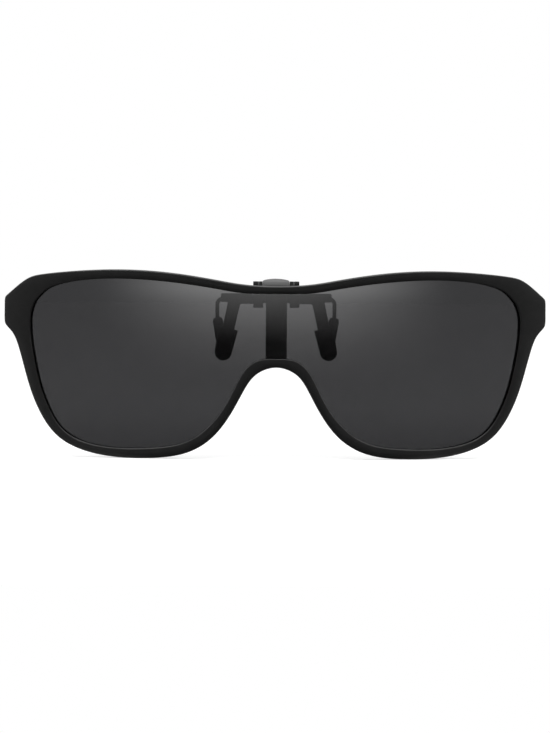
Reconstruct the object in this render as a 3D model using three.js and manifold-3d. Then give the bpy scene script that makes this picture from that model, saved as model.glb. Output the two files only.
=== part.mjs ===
// Flip-up clip-on sunglasses: a one-piece shield lens in a moulded frame front, which swings up on
// the pin of a sprung clip. The clip's padded jaws pinch the upper edge of the wearer's own lenses.
// Millimetres. X runs to the right seen from the front, Y towards the wearer, Z up.
// The origin lies between the closed grip pads, on the middle plane of the front.
import * as THREE from 'three';
import { mergeVertices } from 'three/addons/utils/BufferGeometryUtils.js';
import Module from 'manifold-3d';

// Frame front
const FRAME_WIDTH = 145.2;
const FRAME_THICKNESS = 3.2;
const EDGE_ROUND = 0.5;
const WRAP_RADIUS = 230;
const LENS_THICKNESS = 1.2;
const LENS_PLAY = 0.18;
const GROOVE_DEPTH = 0.8;
const POST_WIDTH = 5.6;
const POST_THICKNESS = 1.55;
const POST_ROOT = 1.2;
const POST_TO_LENS = 0.25;

// Rim stations down the right half, from the middle of the brow round the end to the nose arch.
// Each row pairs a point of the outer edge (x, z) with the lens-side edge (x, z) across the rim.
// They spread with the frame's width.
const RIM_STATIONS = [
  [0, 16.5, 0, 14.55],
  [9, 16.97, 9, 14.68],
  [15.5, 17.98, 15.5, 15.65],
  [28, 19.85, 28, 17.4],
  [42, 20.6, 41.5, 18.2],
  [54, 20.05, 52, 17.6],
  [62.5, 19.1, 58.6, 16.2],
  [66.6, 17.8, 61.6, 14.75],
  [70.9, 14.35, 63.35, 13.05],
  [72.2, 13.15, 64.15, 12.1],
  [72.5, 12.5, 64.75, 10.95],
  [72.6, 9.4, 65.5, 8.4],
  [72.55, 6.4, 65.65, 5.8],
  [72.1, 5.3, 65.6, 4.3],
  [70.6, 3.6, 65.45, 2.3],
  [69, 0.3, 65, -1],
  [66.3, -9.2, 63.3, -9.2],
  [63.2, -17.2, 60.9, -15.9],
  [57.5, -24.6, 56, -22.7],
  [46.5, -28.8, 46, -26.5],
  [34, -29.45, 34.5, -27.15],
  [24, -28, 25, -25.85],
  [16.5, -23.4, 18.3, -21.8],
  [10.6, -15, 13, -14.6],
  [6.7, -8.3, 8.6, -6.3],
  [3.5, -5.85, 4.6, -3.15],
  [0, -5.05, 0, -2.75],
];

// Grip: two flat legs in front of the wearer's lens, two wire legs behind it
const GRIP_GAP = 0.4;
const PAD_THICKNESS = 2;
const PAD_ROUND = 0.5;
const PAD_FIT = 0.15;
const FRONT_PAD_TOP = 5.2;
const FRONT_PAD_END = 4.55;
const FRONT_PAD_LENGTH = 8.7;
const REAR_PAD_WIDTH = 2.7;
const REAR_PAD_MOUTH = 1.9;
const REAR_PAD_SHOULDER = 0.7;
const REAR_PAD_LENGTH = 8.4;
const PAD_END_WALL = 1.1;
const TOE_LENGTH = 2.4;
const TOE_GROOVE_WIDTH = 0.4;
const TOE_GROOVE_DEPTH = 0.25;

// Front jaw: stamped crossbar with two flat legs
const JAW_THICKNESS = 0.8;
const CROSSBAR_LENGTH = 29.4;
const CROSSBAR_HEIGHT = 2.55;
const CROSSBAR_CORNER = 0.35;
const CROSSBAR_SHOULDER = 0.25;
const CROSSBAR_END_RISE = 0.5;
const CROSSBAR_RELIEF = 0.36;
const LEG_X = 10.98;
const LEG_WIDTH = 3.33;
const LEG_END_WIDTH = 3;
const LEG_BARE = 6.73;
const LEG_LEAN = THREE.MathUtils.degToRad(12.1);

// Rear jaw: bent wire
const WIRE_RADIUS = 0.53;
const WIRE_FIT = 0.12;
const WIRE_LEG_X = 15.6;
const WIRE_DROP = 3;
const WIRE_BEND = 1.5;
const WIRE_BARE = 5.05;
const WIRE_LEAN = THREE.MathUtils.degToRad(9.5);

// Hinge, along X
const PIN_RADIUS = 0.45;
const PIN_HEIGHT = 15.9;
const TURN_PLAY = 0.12;
const SIDE_PLAY = 0.08;
const EAR_WIDTH = 0.85;
const WASHER_THICKNESS = 0.25;
const WASHER_RADIUS = 1.7;
const PIN_HEAD_RADIUS = 1.7;
const PIN_HEAD_THICKNESS = 0.3;
const HINGE_PLAY = 0.3;

// Torsion spring on the pin
const SPRING_WIRE_RADIUS = 0.22;
const SPRING_PLAY = 0.12;
const SPRING_WHOLE_TURNS = 4;
const SPRING_SIDE_PLAY = 0.3;
const SPRING_SEAT_PLAY = 0.15;
const SPRING_LEG_REACH = 1.2;
const LEAST_SPRING_GAP = 0.4;

// Thumb lever
const LEVER_WIDTH = 7.1;
const LEVER_SHEET = 0.55;
const HOOD_PLAY = 0.15;
const HOOD_FRONT = THREE.MathUtils.degToRad(152);
const CHEEK_WIDTH = 0.8;
const TAB_LENGTH = 5.2;
const TAB_KNEE = 3.12;
const TAB_SLOPE = THREE.MathUtils.degToRad(3);
const TAB_LIFT = 0.25;
const SLEEVE_WALL = 0.42;

// Bracket on the back of the post
const BRACKET_THICKNESS = 0.8;
const BRACKET_SPACE = 0.9;
const BRACKET_HEIGHT = 2.1;
const BRACKET_TAB_DROP = 0.95;
const BRACKET_TAB_WIDTH = 2.6;
const SEAT_PLAY = 0.05;
const SCREW_SPACING = 2.5;
const SCREW_RADIUS = 0.4;
const SCREW_HEAD_RADIUS = 0.8;
const SCREW_CROWN_RADIUS = 0.56;
const SCREW_HEAD_HEIGHT = 0.4;
const SCREW_BITE = 1.05;
const SCREW_SLOT = 0.25;

// Facets
const STEPS_PER_STATION = 3;
const LENS_COLUMNS = 36;
const LENS_CORNERS = 4;
const PLATE_ARC_STEPS = 8;
const PLATE_EDGE_STEPS = 2;
const DISC_ARC_STEPS = 10;
const DRILL_SIDES = 12;
const SCREW_SIDES = 16;
const WIRE_SIDES = 8;
const WIRE_BEND_STEPS = 4;
const SPRING_SIDES = 5;
const STEPS_PER_TURN = 8;

// Places that follow from the sizes above
const JAW_MID = -(GRIP_GAP + PAD_THICKNESS) / 2;
const JAW_FRONT = JAW_MID - JAW_THICKNESS / 2;
const JAW_BACK = JAW_MID + JAW_THICKNESS / 2;
const WIRE_Y = (GRIP_GAP + PAD_THICKNESS) / 2;
const BRACKET_BACK = JAW_FRONT - BRACKET_SPACE;
const BRACKET_FRONT = BRACKET_BACK - BRACKET_THICKNESS;
const POST_BACK = BRACKET_FRONT - SEAT_PLAY;
const POST_FRONT = POST_BACK - POST_THICKNESS;
const FRAME_MID = POST_FRONT - POST_TO_LENS - LENS_THICKNESS / 2;

const COIL_RADIUS = PIN_RADIUS + SPRING_PLAY + SPRING_WIRE_RADIUS;
const HOOD_INSIDE = COIL_RADIUS + SPRING_WIRE_RADIUS + HOOD_PLAY;
const HINGE_RADIUS = HOOD_INSIDE + LEVER_SHEET;
const PIN_HOLE = PIN_RADIUS + TURN_PLAY;
const CROSSBAR_TOP = PIN_HEIGHT - HINGE_RADIUS;
const CROSSBAR_BOTTOM = CROSSBAR_TOP - CROSSBAR_HEIGHT;
const WIRE_Z = PIN_HEIGHT - WIRE_DROP;
const SLEEVE_RADIUS = WIRE_RADIUS + WIRE_FIT + SLEEVE_WALL;

const BRACKET_EAR_X = LEVER_WIDTH / 2 + SIDE_PLAY;
const WASHER_X = BRACKET_EAR_X + EAR_WIDTH + SIDE_PLAY;
const JAW_EAR_X = WASHER_X + WASHER_THICKNESS + SIDE_PLAY;
const PIN_HEAD_X = JAW_EAR_X + EAR_WIDTH + SIDE_PLAY;
const PIN_END_X = PIN_HEAD_X + PIN_HEAD_THICKNESS;
const BRACKET_TAB_X = PIN_END_X - BRACKET_TAB_WIDTH;
const SCREW_Z = CROSSBAR_TOP - BRACKET_HEIGHT / 2;

const wasm = await Module();
wasm.setup();

const MATERIALS = {
  moulding: new THREE.MeshStandardMaterial({ color: 0x212122, roughness: 0.62, metalness: 0 }),
  lens: new THREE.MeshStandardMaterial({ color: 0x2c2c2e, roughness: 0.08, metalness: 0 }),
  blackSteel: new THREE.MeshStandardMaterial({ color: 0x19191a, roughness: 0.45, metalness: 0.6 }),
  greySteel: new THREE.MeshStandardMaterial({ color: 0x6b6b6d, roughness: 0.4, metalness: 0.8 }),
  springSteel: new THREE.MeshStandardMaterial({ color: 0x8d8d90, roughness: 0.3, metalness: 1 }),
  nylon: new THREE.MeshStandardMaterial({ color: 0x2a2a2a, roughness: 0.55, metalness: 0 }),
  rubber: new THREE.MeshStandardMaterial({ color: 0x0e0e0f, roughness: 0.85, metalness: 0 }),
};

// A closed geometry as a solid: corners that coincide become one vertex, and slivers drop out.
function solidOf(geometry) {
  const bare = geometry.clone();
  bare.deleteAttribute('normal');
  bare.deleteAttribute('uv');
  const welded = mergeVertices(bare);
  const corners = welded.index.array;
  const kept = [];
  for (let i = 0; i < corners.length; i += 3) {
    const [a, b, c] = corners.slice(i, i + 3);
    if (a !== b && b !== c && c !== a) kept.push(a, b, c);
  }
  return new wasm.Manifold(new wasm.Mesh({
    numProp: 3,
    vertProperties: new Float32Array(welded.attributes.position.array),
    triVerts: new Uint32Array(kept),
  }));
}

function geometryOf(solid) {
  const mesh = solid.getMesh();
  const geometry = new THREE.BufferGeometry();
  geometry.setAttribute('position', new THREE.BufferAttribute(new Float32Array(mesh.vertProperties), 3));
  geometry.setIndex(new THREE.BufferAttribute(new Uint32Array(mesh.triVerts), 1));
  geometry.computeVertexNormals();
  return geometry;
}

const join = (...solids) => solids.reduce((whole, piece) => whole.add(piece));
const cut = (solid, ...tools) => tools.reduce((rest, tool) => rest.subtract(tool), solid);

// A front-view outline (x, z) carried from y0 back to y1, its edges rounded by edge.
function frontPlate(shape, y0, y1, edge = 0) {
  const geometry = new THREE.ExtrudeGeometry(shape, {
    depth: y1 - y0 - 2 * edge,
    curveSegments: PLATE_ARC_STEPS,
    bevelEnabled: edge > 0,
    bevelThickness: edge,
    bevelSize: edge,
    bevelOffset: -edge,
    bevelSegments: PLATE_EDGE_STEPS,
  });
  return geometry.rotateX(Math.PI / 2).translate(0, y1 - edge, 0);
}

// An outline carried straight through a depth, without rounded edges.
function prism(shape, depth) {
  return new THREE.ExtrudeGeometry(shape, { depth, bevelEnabled: false, curveSegments: DISC_ARC_STEPS });
}

// A side-view outline (y, z) carried from x0 to x1.
function sideBar(shape, x0, x1) {
  const geometry = prism(shape, x1 - x0);
  const toSide = new THREE.Matrix4().makeBasis(
    new THREE.Vector3(0, 1, 0), new THREE.Vector3(0, 0, 1), new THREE.Vector3(1, 0, 0));
  return geometry.applyMatrix4(toSide).translate(x0, 0, 0);
}

function sideDisc(y, z, radius, x0, x1) {
  return solidOf(sideBar(new THREE.Shape().absarc(y, z, radius, 0, 2 * Math.PI), x0, x1));
}

function box(x0, x1, y0, y1, z0, z1) {
  const geometry = new THREE.BoxGeometry(x1 - x0, y1 - y0, z1 - z0);
  return solidOf(geometry.translate((x0 + x1) / 2, (y0 + y1) / 2, (z0 + z1) / 2));
}

// A round bar along a row of points, its rings turned by the least twist from one to the next.
function sweep(path, radius, sides) {
  const corners = [];
  const faces = [];
  const last = path.length - 1;
  let across = null;
  path.forEach((point, i) => {
    const along = path[Math.min(i + 1, last)].clone().sub(path[Math.max(i - 1, 0)]).normalize();
    across ??= new THREE.Vector3(-along.z, 0, along.x);
    across = across.clone().addScaledVector(along, -across.dot(along)).normalize();
    const up = along.clone().cross(across);
    for (let k = 0; k < sides; k += 1) {
      const angle = 2 * Math.PI * k / sides;
      corners.push(point.clone().addScaledVector(across, radius * Math.cos(angle))
        .addScaledVector(up, radius * Math.sin(angle)));
    }
  });
  for (let i = 0; i < last; i += 1) {
    for (let k = 0; k < sides; k += 1) {
      const [a, b] = [i * sides + k, i * sides + (k + 1) % sides];
      faces.push(a, b, b + sides, a, b + sides, a + sides);
    }
  }
  for (let k = 1; k < sides - 1; k += 1) {
    faces.push(0, k + 1, k, last * sides, last * sides + k, last * sides + k + 1);
  }
  const geometry = new THREE.BufferGeometry().setFromPoints(corners);
  geometry.setIndex(faces);
  return solidOf(geometry);
}

// A place on the wrapped front: x as measured on its front face, depth behind the lens's middle, z up.
function onWrap(x, depth, z) {
  const radius = WRAP_RADIUS - depth;
  const bend = Math.asin(x / (WRAP_RADIUS + FRAME_THICKNESS / 2));
  return new THREE.Vector3(radius * Math.sin(bend), FRAME_MID + WRAP_RADIUS - radius * Math.cos(bend), z);
}

// A station's distance from the middle, stretched to the frame's width.
function spread(x) {
  const drawnHalf = Math.max(...RIM_STATIONS.map(([outer]) => outer));
  return x * FRAME_WIDTH / 2 / drawnHalf;
}

// One edge of the rim as a closed run of points (x, z), clockwise from the middle of the brow.
function rimEdge(column) {
  const right = RIM_STATIONS.map((row) => new THREE.Vector3(spread(row[column]), 0, row[column + 1]));
  const left = right.slice(1, -1).reverse().map((point) => new THREE.Vector3(-point.x, 0, point.z));
  const curve = new THREE.CatmullRomCurve3([...right, ...left], true, 'centripetal');
  return curve.getPoints((right.length + left.length) * STEPS_PER_STATION).slice(0, -1);
}

const OUTER_EDGE = rimEdge(0);
const LENS_SIDE_EDGE = rimEdge(2);

// The rim's section at one station: distance from the outer edge, and depth, once round.
function rimSection(width) {
  const half = FRAME_THICKNESS / 2;
  const slot = LENS_THICKNESS / 2 + LENS_PLAY;
  const soft = EDGE_ROUND * (1 - Math.SQRT1_2);
  const floor = width - GROOVE_DEPTH;
  return [
    [EDGE_ROUND, -half], [soft, soft - half], [0, EDGE_ROUND - half],
    [0, half - EDGE_ROUND], [soft, half - soft], [EDGE_ROUND, half],
    [width - EDGE_ROUND, half], [width - soft, half - soft], [width, half - EDGE_ROUND],
    [width, slot], [floor, slot], [floor, -slot], [width, -slot],
    [width, EDGE_ROUND - half], [width - soft, soft - half], [width - EDGE_ROUND, -half],
  ];
}

function frameRim() {
  const corners = [];
  const faces = [];
  const stations = OUTER_EDGE.length;
  let ring = 0;
  OUTER_EDGE.forEach((outer, i) => {
    const inward = LENS_SIDE_EDGE[i].clone().sub(outer);
    const width = inward.length();
    inward.normalize();
    const section = rimSection(width);
    ring = section.length;
    section.forEach(([reach, depth]) => {
      corners.push(onWrap(outer.x + inward.x * reach, depth, outer.z + inward.z * reach));
    });
  });
  for (let i = 0; i < stations; i += 1) {
    for (let k = 0; k < ring; k += 1) {
      const [a, b] = [i * ring + k, i * ring + (k + 1) % ring];
      const [c, d] = [((i + 1) % stations) * ring + k, ((i + 1) % stations) * ring + (k + 1) % ring];
      faces.push(a, d, b, a, c, d);
    }
  }
  const geometry = new THREE.BufferGeometry().setFromPoints(corners);
  geometry.setIndex(faces);
  return solidOf(geometry);
}

// The post stands behind the lens and runs into the rim at the brow and at the nose arch.
function frontFrame() {
  const [browZ, noseZ] = [LENS_SIDE_EDGE[0].z, LENS_SIDE_EDGE[LENS_SIDE_EDGE.length / 2].z];
  const half = POST_WIDTH / 2;
  const post = box(-half, half, POST_FRONT, POST_BACK, noseZ - POST_ROOT, browZ + POST_ROOT);
  const pilots = [-1, 1].map((side) => {
    const depth = SCREW_BITE + SEAT_PLAY + PAD_FIT;
    const radius = SCREW_RADIUS + PAD_FIT;
    const drill = new THREE.CylinderGeometry(radius, radius, 2 * depth, DRILL_SIDES);
    return solidOf(drill.translate(side * SCREW_SPACING / 2, POST_BACK, SCREW_Z));
  });
  return cut(join(frameRim(), post), ...pilots);
}

// The lens fills the groove but for its play: upright strips between its upper and lower edges.
// The strips are narrowest at the nose arch and at the ends, where those edges turn most.
function lensSheet() {
  const edge = LENS_SIDE_EDGE.map((inner, i) => {
    const outward = OUTER_EDGE[i].clone().sub(inner).normalize();
    return inner.clone().addScaledVector(outward, GROOVE_DEPTH - LENS_PLAY);
  });
  const rightHalf = edge.slice(0, edge.length / 2 + 1);
  const widest = rightHalf.reduce((best, point, i) => (point.x > rightHalf[best].x ? i : best), 0);
  const heightAt = (run, x) => {
    const i = run.findIndex((point, k) => k > 0 && (point.x - x) * (run[k - 1].x - x) <= 0);
    const share = (x - run[i - 1].x) / (run[i].x - run[i - 1].x);
    return THREE.MathUtils.lerp(run[i - 1].z, run[i].z, share);
  };
  const [upper, lower] = [rightHalf.slice(0, widest + 1), rightHalf.slice(widest)];
  const reach = rightHalf[widest].x - LENS_PLAY / 2;
  const corners = [];
  for (let j = -LENS_COLUMNS; j <= LENS_COLUMNS; j += 1) {
    const x = Math.sign(j) * reach * (1 - Math.cos(Math.PI * j / LENS_COLUMNS)) / 2;
    const [top, bottom] = [heightAt(upper, Math.abs(x)), heightAt(lower, Math.abs(x))];
    const half = LENS_THICKNESS / 2;
    const section = [[-half, bottom], [-half, top], [half, top], [half, bottom]];
    corners.push(...section.map(([depth, z]) => onWrap(x, depth, z)));
  }
  const faces = [];
  const columns = 2 * LENS_COLUMNS;
  for (let j = 0; j < columns; j += 1) {
    for (let k = 0; k < LENS_CORNERS; k += 1) {
      const [a, b] = [LENS_CORNERS * j + k, LENS_CORNERS * j + (k + 1) % LENS_CORNERS];
      faces.push(a, b + LENS_CORNERS, b, a, a + LENS_CORNERS, b + LENS_CORNERS);
    }
  }
  const end = LENS_CORNERS * columns;
  for (let k = 1; k < LENS_CORNERS - 1; k += 1) faces.push(0, k, k + 1, end, end + k + 1, end + k);
  const geometry = new THREE.BufferGeometry().setFromPoints(corners);
  geometry.setIndex(faces);
  return solidOf(geometry);
}

// An ear on the pin: a round eye of the hinge radius joined to a straight neck (y, z corners).
function ear(neck, x0, x1) {
  const neckShape = new THREE.Shape(neck.map(([y, z]) => new THREE.Vector2(y, z)));
  const eye = sideDisc(0, PIN_HEIGHT, HINGE_RADIUS, x0, x1);
  const hole = sideDisc(0, PIN_HEIGHT, PIN_HOLE, x0 - SIDE_PLAY, x1 + SIDE_PLAY);
  return cut(join(solidOf(sideBar(neckShape, x0, x1)), eye), hole);
}

// Both ears of a pair, the left one the right one's mirror image.
function earPair(neck, x) {
  return [ear(neck, x, x + EAR_WIDTH), ear(neck, -x - EAR_WIDTH, -x)];
}

// A plate across the post with a tab below each end, and two ears that reach back to the pin.
function hingeBracket() {
  const half = PIN_END_X;
  const [top, bottom] = [CROSSBAR_TOP, CROSSBAR_TOP - BRACKET_HEIGHT];
  const low = CROSSBAR_BOTTOM - BRACKET_TAB_DROP;
  const tab = BRACKET_TAB_X;
  const outline = new THREE.Shape([
    [-half, top], [-half, low], [-tab, low], [-tab, bottom],
    [tab, bottom], [tab, low], [half, low], [half, top],
  ].map(([x, z]) => new THREE.Vector2(x, z)));
  const plate = solidOf(frontPlate(outline, BRACKET_FRONT, BRACKET_BACK));
  const above = CROSSBAR_TOP + HINGE_PLAY;
  const neck = [
    [BRACKET_FRONT, bottom], [BRACKET_BACK, bottom], [BRACKET_BACK, above],
    [0, above], [0, PIN_HEIGHT + HINGE_RADIUS], [BRACKET_FRONT, PIN_HEIGHT],
  ];
  const holes = [-1, 1].map((side) => {
    const radius = SCREW_RADIUS + PAD_FIT;
    const drill = new THREE.CylinderGeometry(radius, radius, 4 * BRACKET_THICKNESS, DRILL_SIDES);
    return solidOf(drill.translate(side * SCREW_SPACING / 2, BRACKET_BACK, SCREW_Z));
  });
  return cut(join(plate, ...earPair(neck, BRACKET_EAR_X)), ...holes);
}

// A slotted pan-head screw from behind, its shank through the bracket into the post.
function bracketScrew(side) {
  const seat = BRACKET_BACK + SEAT_PLAY;
  const tip = POST_BACK - SCREW_BITE;
  const top = seat + SCREW_HEAD_HEIGHT;
  const profile = [
    [0, tip], [SCREW_RADIUS, tip], [SCREW_RADIUS, seat], [SCREW_HEAD_RADIUS, seat],
    [SCREW_HEAD_RADIUS, seat + SCREW_HEAD_HEIGHT / 2], [SCREW_CROWN_RADIUS, top], [0, top],
  ].map(([radius, y]) => new THREE.Vector2(radius, y));
  const turned = solidOf(new THREE.LatheGeometry(profile, SCREW_SIDES));
  const slotFloor = top - SCREW_HEAD_HEIGHT / 2;
  const [reach, half] = [SCREW_HEAD_RADIUS, SCREW_SLOT / 2];
  const slot = box(-reach, reach, slotFloor, top + SEAT_PLAY, -half, half);
  return cut(turned, slot).translate([side * SCREW_SPACING / 2, 0, SCREW_Z]);
}

// The pin: a plain shaft with a turned head at the left end; a ring holds the right end.
function hingePin() {
  return join(
    sideDisc(0, PIN_HEIGHT, PIN_RADIUS, -PIN_END_X, PIN_END_X),
    sideDisc(0, PIN_HEIGHT, PIN_HEAD_RADIUS, -PIN_END_X, -PIN_HEAD_X));
}

function ringOnPin(radius, x0, x1) {
  const hole = sideDisc(0, PIN_HEIGHT, PIN_HOLE, x0 - SIDE_PLAY, x1 + SIDE_PLAY);
  return cut(sideDisc(0, PIN_HEIGHT, radius, x0, x1), hole);
}

// A strip with a round end, hanging down from its own origin: its width at each drop, then the end.
function hangingOutline(widths, endWidth, length) {
  const end = endWidth / 2;
  const shape = new THREE.Shape(widths.map(([width, drop]) => new THREE.Vector2(-width / 2, -drop)));
  shape.lineTo(-end, end - length);
  shape.absarc(0, end - length, end, Math.PI, 2 * Math.PI, false);
  for (const [width, drop] of [...widths].reverse()) shape.lineTo(width / 2, -drop);
  return shape;
}

// A hanging piece leaned about Y: a positive lean swings its foot out on that side.
function hang(geometry, x, z, lean, side) {
  return solidOf(geometry.rotateY(-side * lean).translate(side * x, 0, z));
}

const LEG_LENGTH = CROSSBAR_HEIGHT / 2 + LEG_BARE + FRONT_PAD_LENGTH - PAD_END_WALL;
const LEG_TOP = CROSSBAR_BOTTOM + CROSSBAR_HEIGHT / 2;

function flatLeg(side, fit) {
  const shape = hangingOutline([[LEG_WIDTH + 2 * fit, 0]], LEG_END_WIDTH + 2 * fit, LEG_LENGTH + fit);
  return hang(frontPlate(shape, JAW_FRONT - fit, JAW_BACK + fit), LEG_X, LEG_TOP, LEG_LEAN, side);
}

// The crossbar dips under the hinge, is cut away between the bracket's tabs, and is slimmer outside
// the legs.
function frontJaw() {
  const half = CROSSBAR_LENGTH / 2;
  const soft = CROSSBAR_CORNER;
  const dip = PIN_END_X + HINGE_PLAY;
  const high = CROSSBAR_TOP + CROSSBAR_SHOULDER;
  const end = CROSSBAR_BOTTOM + CROSSBAR_END_RISE;
  const right = [
    [dip, CROSSBAR_TOP], [dip, high], [half - soft, high], [half, high - soft], [half, end + soft],
    [half - soft, end], [LEG_X, end], [LEG_X, CROSSBAR_BOTTOM], [BRACKET_TAB_X, CROSSBAR_BOTTOM],
    [BRACKET_TAB_X, CROSSBAR_BOTTOM + CROSSBAR_RELIEF],
  ];
  const left = right.map(([x, z]) => [-x, z]).reverse();
  const outline = new THREE.Shape([...right, ...left].map(([x, z]) => new THREE.Vector2(x, z)));
  const neck = [
    [JAW_FRONT, CROSSBAR_BOTTOM], [JAW_BACK, CROSSBAR_BOTTOM], [JAW_BACK, CROSSBAR_TOP],
    [0, PIN_HEIGHT - HINGE_RADIUS], [0, PIN_HEIGHT], [JAW_FRONT, PIN_HEIGHT],
  ];
  const crossbar = solidOf(frontPlate(outline, JAW_FRONT, JAW_BACK));
  return join(crossbar, flatLeg(-1, 0), flatLeg(1, 0), ...earPair(neck, JAW_EAR_X));
}

// A rubber sleeve on a flat leg. A groove across its grip face sets off the toe, which lies flat
// on the wearer's lens below the rear pad.
function frontPad(side) {
  const drop = CROSSBAR_HEIGHT / 2 + LEG_BARE;
  const shape = hangingOutline([[FRONT_PAD_TOP, 0]], FRONT_PAD_END, FRONT_PAD_LENGTH);
  const sleeve = frontPlate(shape, -GRIP_GAP / 2 - PAD_THICKNESS, -GRIP_GAP / 2, PAD_ROUND);
  const grooveTop = TOE_LENGTH - FRONT_PAD_LENGTH + TOE_GROOVE_WIDTH;
  const groove = new THREE.BoxGeometry(2 * FRONT_PAD_TOP, 2 * TOE_GROOVE_DEPTH, TOE_GROOVE_WIDTH);
  groove.translate(0, -GRIP_GAP / 2, grooveTop - TOE_GROOVE_WIDTH / 2);
  const place = (geometry) => hang(geometry.translate(0, 0, -drop), LEG_X, LEG_TOP, LEG_LEAN, side);
  return cut(place(sleeve), flatLeg(side, PAD_FIT), place(groove));
}

// Half of the wire's middle line, from the middle of the rear jaw down to its right foot.
function wireHalf(extra) {
  const bendCentre = new THREE.Vector2(WIRE_LEG_X - WIRE_BEND, WIRE_Z - WIRE_BEND);
  const points = [];
  for (let i = 0; i <= WIRE_BEND_STEPS; i += 1) {
    const angle = Math.PI / 2 * (1 - i / WIRE_BEND_STEPS);
    points.push([bendCentre.x + WIRE_BEND * Math.cos(angle), bendCentre.y + WIRE_BEND * Math.sin(angle)]);
  }
  const knee = WIRE_Z - WIRE_BARE;
  const foot = REAR_PAD_LENGTH - PAD_END_WALL + extra;
  points.push([WIRE_LEG_X, knee]);
  points.push([WIRE_LEG_X - foot * Math.sin(WIRE_LEAN), knee - foot * Math.cos(WIRE_LEAN)]);
  return points;
}

function rearWire(radius, extra) {
  const right = wireHalf(extra);
  const left = right.map(([x, z]) => [-x, z]).reverse();
  return sweep([...left, ...right].map(([x, z]) => new THREE.Vector3(x, WIRE_Y, z)), radius, WIRE_SIDES);
}

function rearPad(side) {
  const widths = [[REAR_PAD_MOUTH, 0], [REAR_PAD_WIDTH, REAR_PAD_SHOULDER]];
  const shape = hangingOutline(widths, REAR_PAD_WIDTH, REAR_PAD_LENGTH);
  const sleeve = frontPlate(shape, GRIP_GAP / 2, GRIP_GAP / 2 + PAD_THICKNESS, PAD_ROUND);
  const whole = hang(sleeve, WIRE_LEG_X, WIRE_Z - WIRE_BARE, -WIRE_LEAN, side);
  return cut(whole, rearWire(WIRE_RADIUS + PAD_FIT, PAD_FIT));
}

// The lever: a hood over the spring that runs on into a thumb tab with a round end, two cheeks on
// the pin, and across their feet the sleeve that is closed round the wire.
function thumbLever() {
  const half = LEVER_WIDTH / 2;
  const tangent = Math.PI / 2 + TAB_SLOPE;
  const along = new THREE.Vector2(Math.cos(TAB_SLOPE), Math.sin(TAB_SLOPE));
  const start = (radius) => new THREE.Vector2(
    radius * Math.cos(tangent), PIN_HEIGHT + radius * Math.sin(tangent));
  const lift = new THREE.Vector2(0, TAB_LIFT);
  const tip = (radius) => start(radius).addScaledVector(along, TAB_LENGTH).add(lift);
  const knee = (radius) => start(radius).addScaledVector(along, TAB_KNEE);
  const [top, under] = [tip(HINGE_RADIUS), tip(HOOD_INSIDE)];
  const profile = new THREE.Shape();
  profile.absarc(0, PIN_HEIGHT, HINGE_RADIUS, HOOD_FRONT, tangent, true);
  profile.quadraticCurveTo(knee(HINGE_RADIUS).x, knee(HINGE_RADIUS).y, top.x, top.y);
  profile.lineTo(under.x, under.y);
  const [bend, root] = [knee(HOOD_INSIDE), start(HOOD_INSIDE)];
  profile.quadraticCurveTo(bend.x, bend.y, root.x, root.y);
  profile.absarc(0, PIN_HEIGHT, HOOD_INSIDE, tangent, HOOD_FRONT, false);
  const bent = solidOf(sideBar(profile, -half, half));

  const plan = new THREE.Shape();
  plan.moveTo(half, -2 * HINGE_RADIUS);
  plan.absarc(0, top.x - half, half, 0, Math.PI, false);
  plan.lineTo(-half, -2 * HINGE_RADIUS);
  const hood = bent.intersect(solidOf(prism(plan, 2 * PIN_HEIGHT)));

  const tail = new THREE.Vector2(WIRE_Y, WIRE_Z - PIN_HEIGHT);
  const square = tail.angle() + Math.PI / 2;
  const tailShape = new THREE.Shape();
  tailShape.absarc(0, PIN_HEIGHT, SLEEVE_RADIUS, square, square + Math.PI, false);
  tailShape.absarc(WIRE_Y, WIRE_Z, SLEEVE_RADIUS, square + Math.PI, square + 2 * Math.PI, false);
  const cheeks = [half - CHEEK_WIDTH, -half].map((x) => join(
    sideDisc(0, PIN_HEIGHT, HINGE_RADIUS, x, x + CHEEK_WIDTH),
    solidOf(sideBar(tailShape, x, x + CHEEK_WIDTH))));
  const sleeve = sideDisc(WIRE_Y, WIRE_Z, SLEEVE_RADIUS, -half, half);
  const pinHole = sideDisc(0, PIN_HEIGHT, PIN_HOLE, -LEVER_WIDTH, LEVER_WIDTH);
  const wireHole = sideDisc(WIRE_Y, WIRE_Z, WIRE_RADIUS + WIRE_FIT, -LEVER_WIDTH, LEVER_WIDTH);
  return cut(join(hood, ...cheeks, sleeve), pinHole, wireHole);
}

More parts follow.
